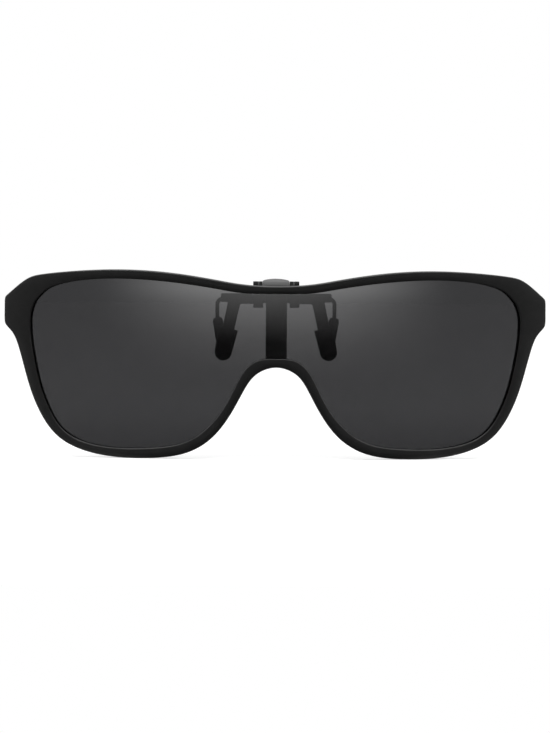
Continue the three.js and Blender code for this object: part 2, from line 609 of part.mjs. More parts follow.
// The spring's middle line: a leg in front of the crossbar, a helix round the pin, and a leg
// behind the lever's sleeve, so that its legs draw the two jaws together.
function springPath() {
  const reach = LEVER_WIDTH / 2 - CHEEK_WIDTH - SPRING_SIDE_PLAY - SPRING_WIRE_RADIUS;
  const clear = SPRING_SEAT_PLAY + SPRING_WIRE_RADIUS;
  const frontKnee = new THREE.Vector2(JAW_FRONT - clear, CROSSBAR_TOP - PIN_HEIGHT);
  const rearKnee = new THREE.Vector2(WIRE_Y + SLEEVE_RADIUS + clear, WIRE_Z - PIN_HEIGHT + WIRE_RADIUS);
  const from = frontKnee.angle() - Math.acos(COIL_RADIUS / frontKnee.length());
  const to = rearKnee.angle() + Math.acos(COIL_RADIUS / rearKnee.length());
  const turn = 2 * Math.PI;
  const sweepAngle = THREE.MathUtils.euclideanModulo(from - to, turn) + turn * SPRING_WHOLE_TURNS;
  const steps = Math.round(sweepAngle / turn * STEPS_PER_TURN);
  const at = (x, spot) => new THREE.Vector3(x, spot.x, PIN_HEIGHT + spot.y);
  const coil = [];
  for (let i = 0; i <= steps; i += 1) {
    const angle = from - sweepAngle * i / steps;
    const spot = new THREE.Vector2(Math.cos(angle), Math.sin(angle)).multiplyScalar(COIL_RADIUS);
    coil.push(at(-reach + 2 * reach * i / steps, spot));
  }
  const down = new THREE.Vector2(0, -SPRING_LEG_REACH);
  return [
    at(-reach, frontKnee.clone().add(down)), at(-reach, frontKnee), ...coil,
    at(reach, rearKnee), at(reach, rearKnee.clone().add(down)),
  ];
}

// The least clear distance between turns, over points more than half a turn apart along the wire.
function leastGap(path, radius) {
  let least = Infinity;
  for (let i = 0; i < path.length; i += 1) {
    for (let k = i + STEPS_PER_TURN / 2; k < path.length; k += 1) {
      least = Math.min(least, path[i].distanceTo(path[k]) - 2 * radius);
    }
  }
  return least;
}

function pinchSpring() {
  const path = springPath();
  const gap = leastGap(path, SPRING_WIRE_RADIUS);
  console.log(`pinch_spring least gap ${gap.toFixed(2)} mm, wanted over ${LEAST_SPRING_GAP} mm`);
  return sweep(path, SPRING_WIRE_RADIUS, SPRING_SIDES);
}

const sunglasses = new THREE.Group();
const clip = new THREE.Group();
const front = new THREE.Group();
const rearJaw = new THREE.Group();
sunglasses.add(clip, front, rearJaw);

function addPiece(group, name, solid, material) {
  const mesh = new THREE.Mesh(geometryOf(solid), material);
  mesh.name = name;
  group.add(mesh);
}

addPiece(front, 'front_frame', frontFrame(), MATERIALS.moulding);
addPiece(front, 'lens', lensSheet(), MATERIALS.lens);
addPiece(front, 'hinge_bracket', hingeBracket(), MATERIALS.blackSteel);
addPiece(clip, 'hinge_pin', hingePin(), MATERIALS.blackSteel);
addPiece(clip, 'pin_ring', ringOnPin(PIN_HEAD_RADIUS, PIN_HEAD_X, PIN_END_X), MATERIALS.blackSteel);
addPiece(clip, 'front_jaw', frontJaw(), MATERIALS.blackSteel);
addPiece(clip, 'pinch_spring', pinchSpring(), MATERIALS.springSteel);
addPiece(rearJaw, 'thumb_lever', thumbLever(), MATERIALS.greySteel);
addPiece(rearJaw, 'rear_jaw_wire', rearWire(WIRE_RADIUS, 0), MATERIALS.blackSteel);
for (const [hand, side] of [['left', -1], ['right', 1]]) {
  const washerX = side > 0 ? WASHER_X : -WASHER_X - WASHER_THICKNESS;
  const washer = ringOnPin(WASHER_RADIUS, washerX, washerX + WASHER_THICKNESS);
  addPiece(front, `bracket_screw_${hand}`, bracketScrew(side), MATERIALS.blackSteel);
  addPiece(clip, `friction_washer_${hand}`, washer, MATERIALS.nylon);
  addPiece(clip, `front_pad_${hand}`, frontPad(side), MATERIALS.rubber);
  addPiece(rearJaw, `rear_pad_${hand}`, rearPad(side), MATERIALS.rubber);
}

export default sunglasses;
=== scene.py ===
"""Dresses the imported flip-up clip-on sunglasses: fine surfaces, finishes, light and camera.

Lengths are in millimetres and go into the meshes in metres. X runs to the right seen from the
front, Y towards the wearer, Z up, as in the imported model.
"""

import math

import bpy
import numpy as np
from mathutils import Matrix, Vector


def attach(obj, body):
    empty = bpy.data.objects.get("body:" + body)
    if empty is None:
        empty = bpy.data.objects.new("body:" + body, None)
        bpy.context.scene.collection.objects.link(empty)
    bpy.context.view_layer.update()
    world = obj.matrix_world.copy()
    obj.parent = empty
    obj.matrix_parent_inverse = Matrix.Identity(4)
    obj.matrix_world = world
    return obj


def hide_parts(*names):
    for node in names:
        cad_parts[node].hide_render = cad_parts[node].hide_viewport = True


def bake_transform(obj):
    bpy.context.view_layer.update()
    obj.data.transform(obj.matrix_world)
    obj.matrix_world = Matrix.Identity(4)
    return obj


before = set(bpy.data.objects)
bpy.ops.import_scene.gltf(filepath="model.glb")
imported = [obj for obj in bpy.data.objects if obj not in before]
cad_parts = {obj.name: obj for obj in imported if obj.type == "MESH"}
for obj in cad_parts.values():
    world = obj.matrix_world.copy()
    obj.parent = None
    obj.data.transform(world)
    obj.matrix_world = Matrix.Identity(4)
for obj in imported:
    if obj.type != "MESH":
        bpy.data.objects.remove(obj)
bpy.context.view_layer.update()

MM = 0.001

# Frame front
FRAME_THICKNESS = 3.2
WRAP_RADIUS = 230.0
FRAME_MID = -5.75
LENS_THICKNESS = 1.2
LENS_PLAY = 0.18
GROOVE_DEPTH = 0.8
OUTER_ROUND = 0.6
FRONT_ROUND = 0.46
INNER_ROUND = 0.3
LOWER_LIP_ROUND = 0.52
LOWER_LIP_Z = (-22.5, -26.5)
FACE_CROWN = 0.12
GROOVE_LIP = 0.1
POST_WIDTH = 5.6
POST_FRONT = -4.9
POST_BACK = -3.35
POST_ROOT = 1.2
POST_CORNER = 0.5
POST_EDGE = 0.3

# Rim stations down the right half, from the middle of the brow round the end to the nose arch.
# Each row pairs a point of the outer edge (x, z) with the lens-side edge (x, z) across the rim.
RIM_STATIONS = np.array([
    [0, 16.5, 0, 14.55],
    [9, 16.97, 9, 14.68],
    [15.5, 17.98, 15.5, 15.65],
    [28, 19.85, 28, 17.4],
    [42, 20.6, 41.5, 18.2],
    [54, 20.05, 52, 17.6],
    [62.5, 19.1, 58.6, 16.2],
    [66.6, 17.8, 61.6, 14.75],
    [70.9, 14.35, 63.35, 13.05],
    [72.2, 13.15, 64.15, 12.1],
    [72.5, 12.5, 64.75, 10.95],
    [72.6, 9.4, 65.5, 8.4],
    [72.55, 6.4, 65.65, 5.8],
    [72.1, 5.3, 65.6, 4.3],
    [70.6, 3.6, 65.45, 2.3],
    [69, 0.3, 65, -1],
    [66.3, -9.2, 63.3, -9.2],
    [63.2, -17.2, 60.9, -15.9],
    [57.5, -24.6, 56.1, -22.85],
    [46.5, -28.8, 46, -26.5],
    [34, -29.45, 34.5, -26.75],
    [24, -28, 25.1, -25.4],
    [16.5, -23.4, 18.55, -21.6],
    [10.6, -15, 13, -14.6],
    [6.7, -8.3, 8.6, -6.3],
    [3.5, -5.85, 4.6, -3.15],
    [0, -5.05, 0, -2.75],
])

# Hinge
PIN_RADIUS = 0.45
PIN_HOLE = 0.57
PIN_HEIGHT = 15.9
PIN_HEAD_RADIUS = 1.7
PIN_HEAD_X = 5.82
PIN_END_X = 6.12
PIN_FACE_RADIUS = 0.4
PIN_CHAMFER = 0.12
RING_FIT = 0.02
HINGE_RADIUS = 1.71
EAR_WIDTH = 0.85
EAR_EDGE = 0.06
EAR_GAP = 0.08
NECK_EDGE = 0.12
NECK_INSET = 0.01
# Head, ring and washers take up this much of the running gap beside them
GAP_FILL = 0.7 * EAR_GAP
BRACKET_EAR_X = 3.63
WASHER_X = 4.56
WASHER_THICKNESS = 0.25
WASHER_RADIUS = 1.7
JAW_EAR_X = 4.89

# Bracket and its screws
BRACKET_FRONT = -3.3
BRACKET_BACK = -2.5
BRACKET_BOTTOM = 12.09
BRACKET_TAB_LOW = 10.69
BRACKET_TAB_X = 3.52
BRACKET_ARCH = 14.49
BRACKET_CORNER = 0.16
BRACKET_EDGE = 0.14
# Outlines (y, z) of the necks that run from the plates to the ears' eyes
BRACKET_NECK = [
    (BRACKET_FRONT, BRACKET_BOTTOM), (BRACKET_BACK, BRACKET_BOTTOM), (BRACKET_BACK, BRACKET_ARCH),
    (-0.7, BRACKET_ARCH), (-0.7, PIN_HEIGHT + 1.4), (-1.4, PIN_HEIGHT + 0.98), (BRACKET_FRONT, PIN_HEIGHT)]
SCREW_X = 1.25
SCREW_Z = 13.14
SCREW_RADIUS = 0.4
SCREW_HEAD_RADIUS = 0.8
SCREW_SEAT = -2.45
SCREW_HEAD_HEIGHT = 0.4
SCREW_HEAD_EDGE = 0.06
SCREW_TOP_EDGE = 0.13
SCREW_SLOT = 0.25
SCREW_TIP = -4.4
SCREW_TIP_RADIUS = 0.1
SCREW_TIP_LENGTH = 0.25

# Front jaw
JAW_FRONT = -1.6
JAW_BACK = -0.8
JAW_EDGE = 0.16
CROSSBAR_HALF = 14.7
CROSSBAR_TOP = 14.19
CROSSBAR_SHOULDER = 14.44
CROSSBAR_BOTTOM = 11.64
CROSSBAR_RELIEF = 12.0
CROSSBAR_END_LOW = 12.14
DIP_X = 6.42
LEG_X = 10.98
LEG_TOP = 12.915
LEG_LENGTH = 15.605
LEG_WIDTH = 3.33
LEG_END_WIDTH = 3.0
LEG_LEAN = math.radians(12.1)
JAW_NECK = [
    (JAW_FRONT, CROSSBAR_BOTTOM + 0.1), (JAW_BACK, CROSSBAR_BOTTOM + 0.1), (JAW_BACK, CROSSBAR_TOP),
    (-0.1, CROSSBAR_TOP), (-0.1, PIN_HEIGHT - 1.0), (-0.75, PIN_HEIGHT - 0.4), (-0.75, PIN_HEIGHT),
    (JAW_FRONT, PIN_HEIGHT)]
# Corner radii of the jaw's blank, from the relief in its middle round the leg to the dip
JAW_RADII = np.array([0.1, 0.1, 0.6, 1.44, 1.44, 0.3, 0.4, 0.4, 0.12, 0.1])

# Rear jaw
WIRE_RADIUS = 0.53
WIRE_Y = 1.2
WIRE_Z = 12.9
WIRE_LEG_X = 15.6
WIRE_BEND = 1.5
WIRE_KNEE_Z = 7.85
WIRE_KNEE_BEND = 2.0
WIRE_LEAN = math.radians(9.5)
WIRE_FOOT = 7.3
WIRE_CLEAR = 0.5

# Rubber sleeves
PAD_HALF_THICKNESS = 1.0
PAD_ROUND = 0.72
PAD_FIT = 0.15
PAD_LIP = 0.28
PAD_BORE = 1.5
PAD_END_TURN = 84
PAD_END_THINNING = 0.38
PAD_ROUND_SHARE = 0.85
GRIP_FROM = 0.45
GRIP_RUN = 0.4
FRONT_PAD_DROP = 8.005
FRONT_PAD_LENGTH = 8.7
FRONT_PAD_TOP = 5.2
FRONT_PAD_END = 4.55
FRONT_PAD_Y = -1.2
TOE_LENGTH = 2.4
TOE_GROOVE = 0.4
TOE_GROOVE_DEPTH = 0.25
TOE_GROOVE_WALL = 0.1
REAR_PAD_LENGTH = 8.4
REAR_PAD_WIDTH = 2.7
REAR_PAD_MOUTH = 1.9
REAR_PAD_SHOULDER = 0.7
RIB_PITCH = 0.7
RIB_DEPTH = 0.12
RIB_RUN = 0.2
RIB_START = 0.9
REAR_RIB_END = 6.5

# Thumb lever
LEVER_HALF = 3.55
LEVER_SHEET = 0.55
LEVER_EDGE = 0.2
LEVER_EDGE_SHARE = 0.9
LEVER_TIP_TURN = 88.5
HOOD_RADIUS = 1.435
HOOD_FRONT = 160.0
TAB_SLOPE = 3.0
TAB_LENGTH = 5.2
TAB_KNEE = 3.12
TAB_LIFT = 0.25
SLEEVE_RADIUS = 1.07
SLEEVE_BORE = 0.65
SLEEVE_EDGE = 0.14
CHEEK_WIDTH = 0.8
CHEEK_HALF = SLEEVE_RADIUS * 0.97
CHEEK_EYE = HINGE_RADIUS - 0.02
CHEEK_START = 0.75
CHEEK_END = 0.72

# Pinch spring
SPRING_WIRE = 0.22
COIL_RADIUS = 0.79
SPRING_REACH = 2.23
SPRING_TURNS = 4
SPRING_LEG = 1.2
SPRING_LEG_MIDDLE = 0.7
SPRING_BEND = 0.4
FRONT_KNEE = (-1.97, 14.19)
REAR_KNEE = (2.64, 13.43)

HANDS = (("left", -1), ("right", 1))


def unit(vectors):
    """Each vector divided by its own length."""
    return vectors / np.linalg.norm(vectors, axis=-1, keepdims=True)


def smooth_loop(corners, steps):
    """A closed cubic spline through the corners, with knots spaced by the square root of their
    distance. One set of linear equations, which lets the bend run on across every corner, gives the
    slopes there; each span is then the cubic with those slopes at its ends."""
    count = len(corners)
    following = np.roll(corners, -1, axis=0)
    span = np.sqrt(np.linalg.norm(following - corners, axis=1))[:, None]
    stiff, pull = 1 / span, (following - corners) / span**2
    k = np.arange(count)
    system = np.zeros((count, count))
    system[k, k] = 2 * (stiff + np.roll(stiff, 1, axis=0))[:, 0]
    system[k, (k + 1) % count] = stiff[:, 0]
    system[k, k - 1] = np.roll(stiff, 1, axis=0)[:, 0]
    slope = np.linalg.solve(system, 3 * (pull + np.roll(pull, 1, axis=0)))
    leave, arrive = slope * span, np.roll(slope, -1, axis=0) * span
    t = np.linspace(0, 1, steps, endpoint=False)[None, :, None]
    curve = ((2 * t**3 - 3 * t**2 + 1) * corners[:, None] + (t**3 - 2 * t**2 + t) * leave[:, None]
             + (3 * t**2 - 2 * t**3) * following[:, None] + (t**3 - t**2) * arrive[:, None])
    return curve.reshape(-1, 2)


def arc(radius, start, end, count):
    """Points on a circle about the origin, evenly spaced from the start to the end angle in degrees."""
    angle = np.radians(np.linspace(start, end, count))
    return radius * np.stack([np.cos(angle), np.sin(angle)], axis=-1)


def bend_through(before, corner, after, count):
    """A parabola from before to after that leaves and arrives along the lines through the corner."""
    t = np.linspace(0, 1, count)[:, None]
    return (1 - t)**2 * np.array(before) + 2 * t * (1 - t) * np.array(corner) + t**2 * np.array(after)


def rounded_corners(corners, radii, count=6):
    """A closed outline with an arc at each corner, tangent to both of its edges: the arc's centre
    lies on the corner's bisector, and its points turn evenly from one tangent point to the other."""
    corners = np.asarray(corners, float)
    radii = np.broadcast_to(np.asarray(radii, float), len(corners))[:, None]
    back, on = unit(np.roll(corners, 1, 0) - corners), unit(np.roll(corners, -1, 0) - corners)
    half = np.arccos(np.clip((back * on).sum(1, keepdims=True), -1, 1)) / 2
    centre = corners + unit(back + on) * radii / np.sin(half)
    first = (corners + back * radii / np.tan(half) - centre)[:, None]
    last = (corners + on * radii / np.tan(half) - centre)[:, None]
    turn = (np.pi - 2 * half)[:, None]
    t = np.linspace(0, 1, count)[None, :, None]
    spots = (np.sin((1 - t) * turn) * first + np.sin(t * turn) * last) / np.sin(turn)
    return (centre[:, None] + spots).reshape(-1, 2)


def shell(rings, joined=False):
    """A closed skin over rings of points, rows by points by x, y, z. Joined, the last ring runs on
    into the first; otherwise each end gets a flat cap. The faces are turned outwards by the sign of
    the volume that they enclose."""
    rows, around, _ = rings.shape
    points = rings.reshape(-1, 3)
    i = np.arange(rows if joined else rows - 1)[:, None]
    k = np.arange(around)
    below, beside = (i + 1) % rows * around, (k + 1) % around
    quads = np.stack(np.broadcast_arrays(i * around + k, below + k, below + beside, i * around + beside),
                     axis=-1).reshape(-1, 4)
    end = (rows - 1) * around
    caps = [] if joined else [np.arange(around), end + np.arange(around)[::-1]]
    fans = [np.stack([np.full(around - 2, cap[0]), cap[1:-1], cap[2:]], axis=-1) for cap in caps]
    triangles = np.concatenate([quads[:, [0, 1, 2]], quads[:, [0, 2, 3]], *fans])
    a, b, c = (points[triangles[:, n]] - points[0] for n in range(3))
    if (a * np.cross(b, c)).sum() < 0:
        quads, caps = quads[:, ::-1], [cap[::-1] for cap in caps]
    return points, quads, caps


def scene_object(name, data):
    """A new object at the origin, in the scene."""
    made = bpy.data.objects.new(name, data)
    bpy.context.scene.collection.objects.link(made)
    return made


def make_piece(name, skins, slot, node, body=None, crease=38):
    """One object at the origin from closed skins: their points in one array, their faces as runs of
    corners. Edges sharper than the crease angle stay sharp. It has its slot's finish and stands for
    the named CAD node."""
    starts = np.cumsum([0] + [len(points) for points, _, _ in skins])
    runs = [face + start for (_, quads, caps), start in zip(skins, starts) for face in (quads, *caps)]
    corners = np.concatenate([run.ravel() for run in runs])
    sizes = np.concatenate([np.full(len(run), 4) if run.ndim == 2 else [len(run)] for run in runs])
    mesh = bpy.data.meshes.new(name)
    places = np.concatenate([points for points, _, _ in skins]) * MM
    mesh.vertices.add(len(places))
    mesh.vertices.foreach_set("co", places.astype(np.float32).ravel())
    mesh.loops.add(len(corners))
    mesh.loops.foreach_set("vertex_index", corners.astype(np.int32))
    mesh.polygons.add(len(sizes))
    mesh.polygons.foreach_set("loop_start", (np.cumsum(sizes) - sizes).astype(np.int32))
    mesh.polygons.foreach_set("use_smooth", np.ones(len(sizes), bool))
    mesh.update(calc_edges=True)
    mesh.validate()
    mesh.set_sharp_from_angle(angle=math.radians(crease))
    mesh.materials.append(FINISH[slot])
    piece = scene_object(name, mesh)
    if body:
        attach(piece, body)
    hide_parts(node)
    return piece


def front_view(outline, depth):
    """A front-view outline (x, z) at each depth y: rings of x, y, z."""
    return np.stack([outline[..., 0], np.broadcast_to(depth, outline.shape[:-1]), outline[..., 1]], axis=-1)


def side_view(outline, depth):
    """A side-view outline (y, z) at each x: rings of x, y, z."""
    return np.stack([np.broadcast_to(depth, outline.shape[:-1]), outline[..., 0], outline[..., 1]], axis=-1)


def plate(outline, low, high, edge, view, steps=5):
    """A stamped plate: its outline carried from the low to the high face, and drawn in along its own
    normals by a quarter round at both faces."""
    ahead = unit(np.roll(outline, -1, 0) - outline)
    behind = np.roll(ahead, 1, 0)
    area = (outline[:, 0] * np.roll(outline[:, 1], -1) - outline[:, 1] * np.roll(outline[:, 0], -1)).sum()
    turn = np.sign(area) * np.array([[0, 1], [-1, 0]])
    inward = (ahead + behind) @ turn / (1 + (ahead * behind).sum(1, keepdims=True))
    angle = np.linspace(0, np.pi / 2, steps)
    inset = edge * (1 - np.sin(angle))
    rise = edge * (1 - np.cos(angle))
    inset = np.hstack([inset, inset[::-1]])[:, None, None]
    depth = np.hstack([low + rise, high - rise[::-1]])[:, None]
    return shell(view(outline[None] + inward[None] * inset, depth))


def turned(profile, centre, sides=40):
    """A profile (x, radius) swept round the line along X through centre (y, z): rings of x, y, z."""
    profile = np.asarray(profile, float)
    circle = arc(1, 0, 360, sides + 1)[:-1]
    return side_view(np.array(centre) + profile[:, None, 1:] * circle[None], profile[:, 0:1])


def soft_rim(x0, x1, inner, outer, edge, count=4):
    """The closed section (x, radius) of a turned ring, its two outer corners rounded."""
    left = arc(edge, 180, 90, count) + [x0 + edge, outer - edge]
    right = arc(edge, 90, 0, count) + [x1 - edge, outer - edge]
    return np.vstack([[x0, inner], left, right, [x1, inner]])


def ring_on_pin(x0, x1, inner, outer, edge):
    """A turned ring whose section closes on itself, so that its bore is open."""
    rings = turned(soft_rim(x0, x1, inner, outer, edge), (0, PIN_HEIGHT))
    return shell(rings, joined=True)


def rounded_section(half_a, half_b, radius, count=7):
    """Rounded rectangles, one a row: the four corner centres, half a side less the radius from the
    middle, plus a quarter circle each. Gives the offsets along both sides."""
    quarter = np.linspace(0, np.pi / 2, count)
    angle = (np.arange(4)[:, None] * np.pi / 2 + quarter).ravel()
    sign_a, sign_b = np.repeat([1, -1, -1, 1], count), np.repeat([1, 1, -1, -1], count)
    a = (half_a - radius)[:, None] * sign_a + radius[:, None] * np.cos(angle)
    b = (half_b - radius)[:, None] * sign_b + radius[:, None] * np.sin(angle)
    return a, b


def tube(path, radius, across, sides=16):
    """A round wire: a circle carried along the path, square to it. One axis of each circle is the
    across direction with its part along the path taken out."""
    along = unit(np.gradient(path, axis=0))
    across = np.array(across, float)
    first = unit(across - (along @ across)[:, None] * along)
    second = np.cross(along, first)
    circle = radius * arc(1, 0, 360, sides + 1)[:-1]
    return path[:, None] + circle[None, :, 0:1] * first[:, None] + circle[None, :, 1:] * second[:, None]


def on_wrap(x, depth, z):
    """A place on the wrapped front: x measured on its front face, depth behind the lens's middle.
    The angle is the arc sine of x over the front radius; the radius shrinks with depth."""
    radius = WRAP_RADIUS - depth
    bend = np.arcsin(x / (WRAP_RADIUS + FRAME_THICKNESS / 2))
    return np.stack(np.broadcast_arrays(
        radius * np.sin(bend), FRAME_MID + WRAP_RADIUS - radius * np.cos(bend), z), axis=-1)


def rim_edge(column, steps=12):
    """One edge of the rim: the right half's stations and their mirror image, as one smooth loop."""
    right = RIM_STATIONS[:, column:column + 2]
    left = right[-2:0:-1] * [-1, 1]
    return smooth_loop(np.vstack([right, left]), steps)


def rim_section(lip):
    """The rim's section once round, as (base, share, depth) rows: a point lies base plus share times
    the local width in from the outer edge. Quarter rounds at the corners, each of its own radius and
    that of the lens-side front lip as given, a crowned front face that falls off with the square of
    the distance from its middle, and the lens groove."""
    half = FRAME_THICKNESS / 2
    slot = LENS_THICKNESS / 2 + LENS_PLAY
    edge = -half + FACE_CROWN

    def corner(radius, share, base, depth, start, end):
        """A corner's arc about its centre, at that share of the width."""
        turn = arc(radius, start, end, 6) + [base, depth]
        return np.column_stack([turn[:, 0], np.full(6, share), turn[:, 1]])

    groove = np.array([
        [0, 1, slot + GROOVE_LIP], [-GROOVE_LIP, 1, slot], [-GROOVE_DEPTH, 1, slot],
        [-GROOVE_DEPTH, 1, -slot], [-GROOVE_LIP, 1, -slot], [0, 1, -slot - GROOVE_LIP]])
    s = np.linspace(0, 1, 9)[1:-1]
    face = np.column_stack([
        FRONT_ROUND * s - lip * (1 - s), 1 - s, -half + FACE_CROWN * (2 * s - 1)**2])
    return np.vstack([
        corner(FRONT_ROUND, 0, FRONT_ROUND, edge + FRONT_ROUND, 270, 180),
        corner(OUTER_ROUND, 0, OUTER_ROUND, half - OUTER_ROUND, 180, 90),
        corner(INNER_ROUND, 1, -INNER_ROUND, half - INNER_ROUND, 90, 0),
        groove,
        corner(lip, 1, -lip, edge + lip, 0, -90),
        face,
    ])


def moulded_rim():
    """The rim: its section carried round the front, stretched to the distance between both edges. The
    front lip's round grows from the upper to the lower section's along the bottom of the rim, with
    the share of the way down."""
    outer, inner = rim_edge(0), rim_edge(2)
    width = np.linalg.norm(inner - outer, axis=1)[:, None]
    inward = (inner - outer) / width
    low = np.clip(np.interp(-outer[:, 1], -np.array(LOWER_LIP_Z), [0, 1]), 0, 1)[:, None, None]
    section = (1 - low) * rim_section(INNER_ROUND) + low * rim_section(LOWER_LIP_ROUND)
    base, share, depth = np.moveaxis(section, -1, 0)
    reach = base + share * width
    x = outer[:, 0:1] + inward[:, 0:1] * reach
    z = outer[:, 1:] + inward[:, 1:] * reach
    return shell(on_wrap(x, depth, z), joined=True)


def centre_post():
    """The flat post behind the lens, from inside the brow to inside the nose arch."""
    half = POST_WIDTH / 2
    low, high = RIM_STATIONS[-1, 3] - POST_ROOT, RIM_STATIONS[0, 3] + POST_ROOT
    outline = rounded_corners([(-half, low), (half, low), (half, high), (-half, high)], POST_CORNER)
    return plate(outline, POST_FRONT, POST_BACK, POST_EDGE, front_view)


def lens_sheet(columns=110, rows=14):
    """The lens: upright columns between its upper and lower edge, each a ring up the front face and
    down the back. Columns close up at the nose and the ends, by one minus the cosine."""
    outer, inner = rim_edge(0), rim_edge(2)
    edge = inner + unit(outer - inner) * (GROOVE_DEPTH - LENS_PLAY)
    right = edge[:len(edge) // 2 + 1]
    widest = right[:, 0].argmax()
    upper, lower = right[:widest + 1], right[widest:][::-1]
    reach = right[widest, 0] - LENS_PLAY / 2
    j = np.arange(-columns, columns + 1) / columns
    x = np.sign(j) * reach * (1 - np.cos(np.pi * j)) / 2
    top = np.interp(np.abs(x), upper[:, 0], upper[:, 1])
    bottom = np.interp(np.abs(x), lower[:, 0], lower[:, 1])
    share = np.linspace(0, 1, rows)
    share = np.hstack([share, share[::-1]])
    depth = np.repeat([-LENS_THICKNESS / 2, LENS_THICKNESS / 2], rows)
    z = bottom[:, None] + (top - bottom)[:, None] * share
    return shell(on_wrap(x[:, None], depth[None], z))


def both_sides(maker, *values):
    """The skins of a form on the left and of its mirror image on the right."""
    return [skin for _, side in HANDS for skin in maker(side, *values)]


def between(side, near, far):
    """The span from near to far on one side of the middle, lower end first."""
    return sorted((side * near, side * far))


def hinge_ear(side, near, neck):
    """An ear: a turned eye on the pin, and a neck plate that runs into it."""
    x0, x1 = between(side, near, near + EAR_WIDTH)
    return [ring_on_pin(x0, x1, PIN_HOLE, HINGE_RADIUS, EAR_EDGE),
            plate(rounded_corners(neck, NECK_EDGE), x0 + NECK_INSET, x1 - NECK_INSET, NECK_EDGE,
                  side_view)]


def hinge_bracket():
    """The bracket: a plate across the post with a tab below each end, and two ears to the pin."""
    outer, tab = PIN_END_X, BRACKET_TAB_X
    outline = rounded_corners(
        [(-outer, CROSSBAR_TOP), (-outer, BRACKET_TAB_LOW), (-tab, BRACKET_TAB_LOW), (-tab, BRACKET_BOTTOM),
         (tab, BRACKET_BOTTOM), (tab, BRACKET_TAB_LOW), (outer, BRACKET_TAB_LOW), (outer, CROSSBAR_TOP)],
        BRACKET_CORNER)
    back = plate(outline, BRACKET_FRONT, BRACKET_BACK, BRACKET_EDGE, front_view)
    return [back, *both_sides(hinge_ear, BRACKET_EAR_X, BRACKET_NECK)]


def pan_screw(side):
    """A slotted pan head: a turned shank and base along Y, and two round segments with the slot
    between them."""
    def along_y(profile):
        """A profile (y, radius) swept round the screw's own axis."""
        circle = arc(1, 0, 360, 29)[:-1]
        spots = [side * SCREW_X, SCREW_Z] + profile[:, None, 1:] * circle[None]
        return shell(front_view(spots, profile[:, 0:1]))

    floor, top = SCREW_SEAT + SCREW_HEAD_HEIGHT / 2, SCREW_SEAT + SCREW_HEAD_HEIGHT
    shank = along_y(np.array([
        [SCREW_TIP, SCREW_TIP_RADIUS], [SCREW_TIP + SCREW_TIP_LENGTH, SCREW_RADIUS],
        [SCREW_SEAT, SCREW_RADIUS]]))
    base = along_y(np.array([
        [SCREW_SEAT, SCREW_HEAD_RADIUS - SCREW_HEAD_EDGE],
        [SCREW_SEAT + SCREW_HEAD_EDGE, SCREW_HEAD_RADIUS], [floor, SCREW_HEAD_RADIUS]]))
    slot_turn = math.degrees(math.asin(SCREW_SLOT / 2 / SCREW_HEAD_RADIUS))
    segment = arc(SCREW_HEAD_RADIUS, slot_turn, 180 - slot_turn, 26)
    heads = [plate(segment * [1, flip] + [side * SCREW_X, SCREW_Z], floor - SCREW_TOP_EDGE, top,
                   SCREW_TOP_EDGE, front_view) for flip in (1, -1)]
    return [shank, base, *heads]


def hinge_pin():
    """The pin: a turned head with a soft edge at the left, a plain shaft, a chamfer at the right."""
    head = arc(EAR_EDGE, 180, 90, 5) + [-PIN_END_X + EAR_EDGE, PIN_HEAD_RADIUS - EAR_EDGE]
    under = GAP_FILL - PIN_HEAD_X
    shaft = [[under, PIN_HEAD_RADIUS], [under, PIN_RADIUS],
             [PIN_END_X - PIN_CHAMFER, PIN_RADIUS], [PIN_END_X, PIN_RADIUS - PIN_CHAMFER]]
    profile = np.vstack([[-PIN_END_X, PIN_FACE_RADIUS], head, shaft])
    return [shell(turned(profile, (0, PIN_HEIGHT)))]


def leaned(points, side, x, z, lean):
    """Points of a hanging piece (across, y, down) leaned in the front view: its foot swings out on
    that side by the sine of the lean."""
    across, y, down = np.moveaxis(points, -1, 0)
    return np.stack([side * x + across * math.cos(lean) + side * down * math.sin(lean), y,
                     z + side * across * math.sin(lean) - down * math.cos(lean)], axis=-1)


def leg_corners():
    """The right-hand leg's four corners (x, z): its inner root on the crossbar's lower edge, two at
    the foot, and its outer root on the lower edge of the crossbar's end. Each root lies on the leg's
    straight edge, at the share of its height."""
    top, taper = LEG_WIDTH / 2, (LEG_WIDTH - LEG_END_WIDTH) / 2 / (LEG_LENGTH - LEG_END_WIDTH / 2)
    foot = top - taper * LEG_LENGTH
    local = np.array([[-top, 0, 0], [-foot, 0, LEG_LENGTH], [foot, 0, LEG_LENGTH], [top, 0, 0]])
    corners = leaned(local, 1, LEG_X, LEG_TOP, LEG_LEAN)[:, [0, 2]]
    for upper, lower, height in ((0, 1, CROSSBAR_BOTTOM), (3, 2, CROSSBAR_END_LOW)):
        share = (height - corners[lower, 1]) / (corners[upper, 1] - corners[lower, 1])
        corners[upper] = corners[lower] + share * (corners[upper] - corners[lower])
    return corners


def stamped_jaw():
    """The front jaw's blank as one outline: a crossbar that dips under the hinge, is cut away between
    the bracket's tabs and is slimmer outside the legs, and two leaning legs with round feet."""
    right = np.vstack([
        [(BRACKET_TAB_X, CROSSBAR_RELIEF), (BRACKET_TAB_X, CROSSBAR_BOTTOM)], leg_corners(),
        [(CROSSBAR_HALF, CROSSBAR_END_LOW), (CROSSBAR_HALF, CROSSBAR_SHOULDER),
         (DIP_X, CROSSBAR_SHOULDER), (DIP_X, CROSSBAR_TOP)]])
    return rounded_corners(np.vstack([right, right[::-1] * [-1, 1]]),
                           np.hstack([JAW_RADII, JAW_RADII[::-1]]), 10)


def front_jaw():
    """The jaw blank as a plate, and its two ears on the pin."""
    blank = plate(stamped_jaw(), JAW_FRONT, JAW_BACK, JAW_EDGE, front_view)
    return [blank, *both_sides(hinge_ear, JAW_EAR_X, JAW_NECK)]


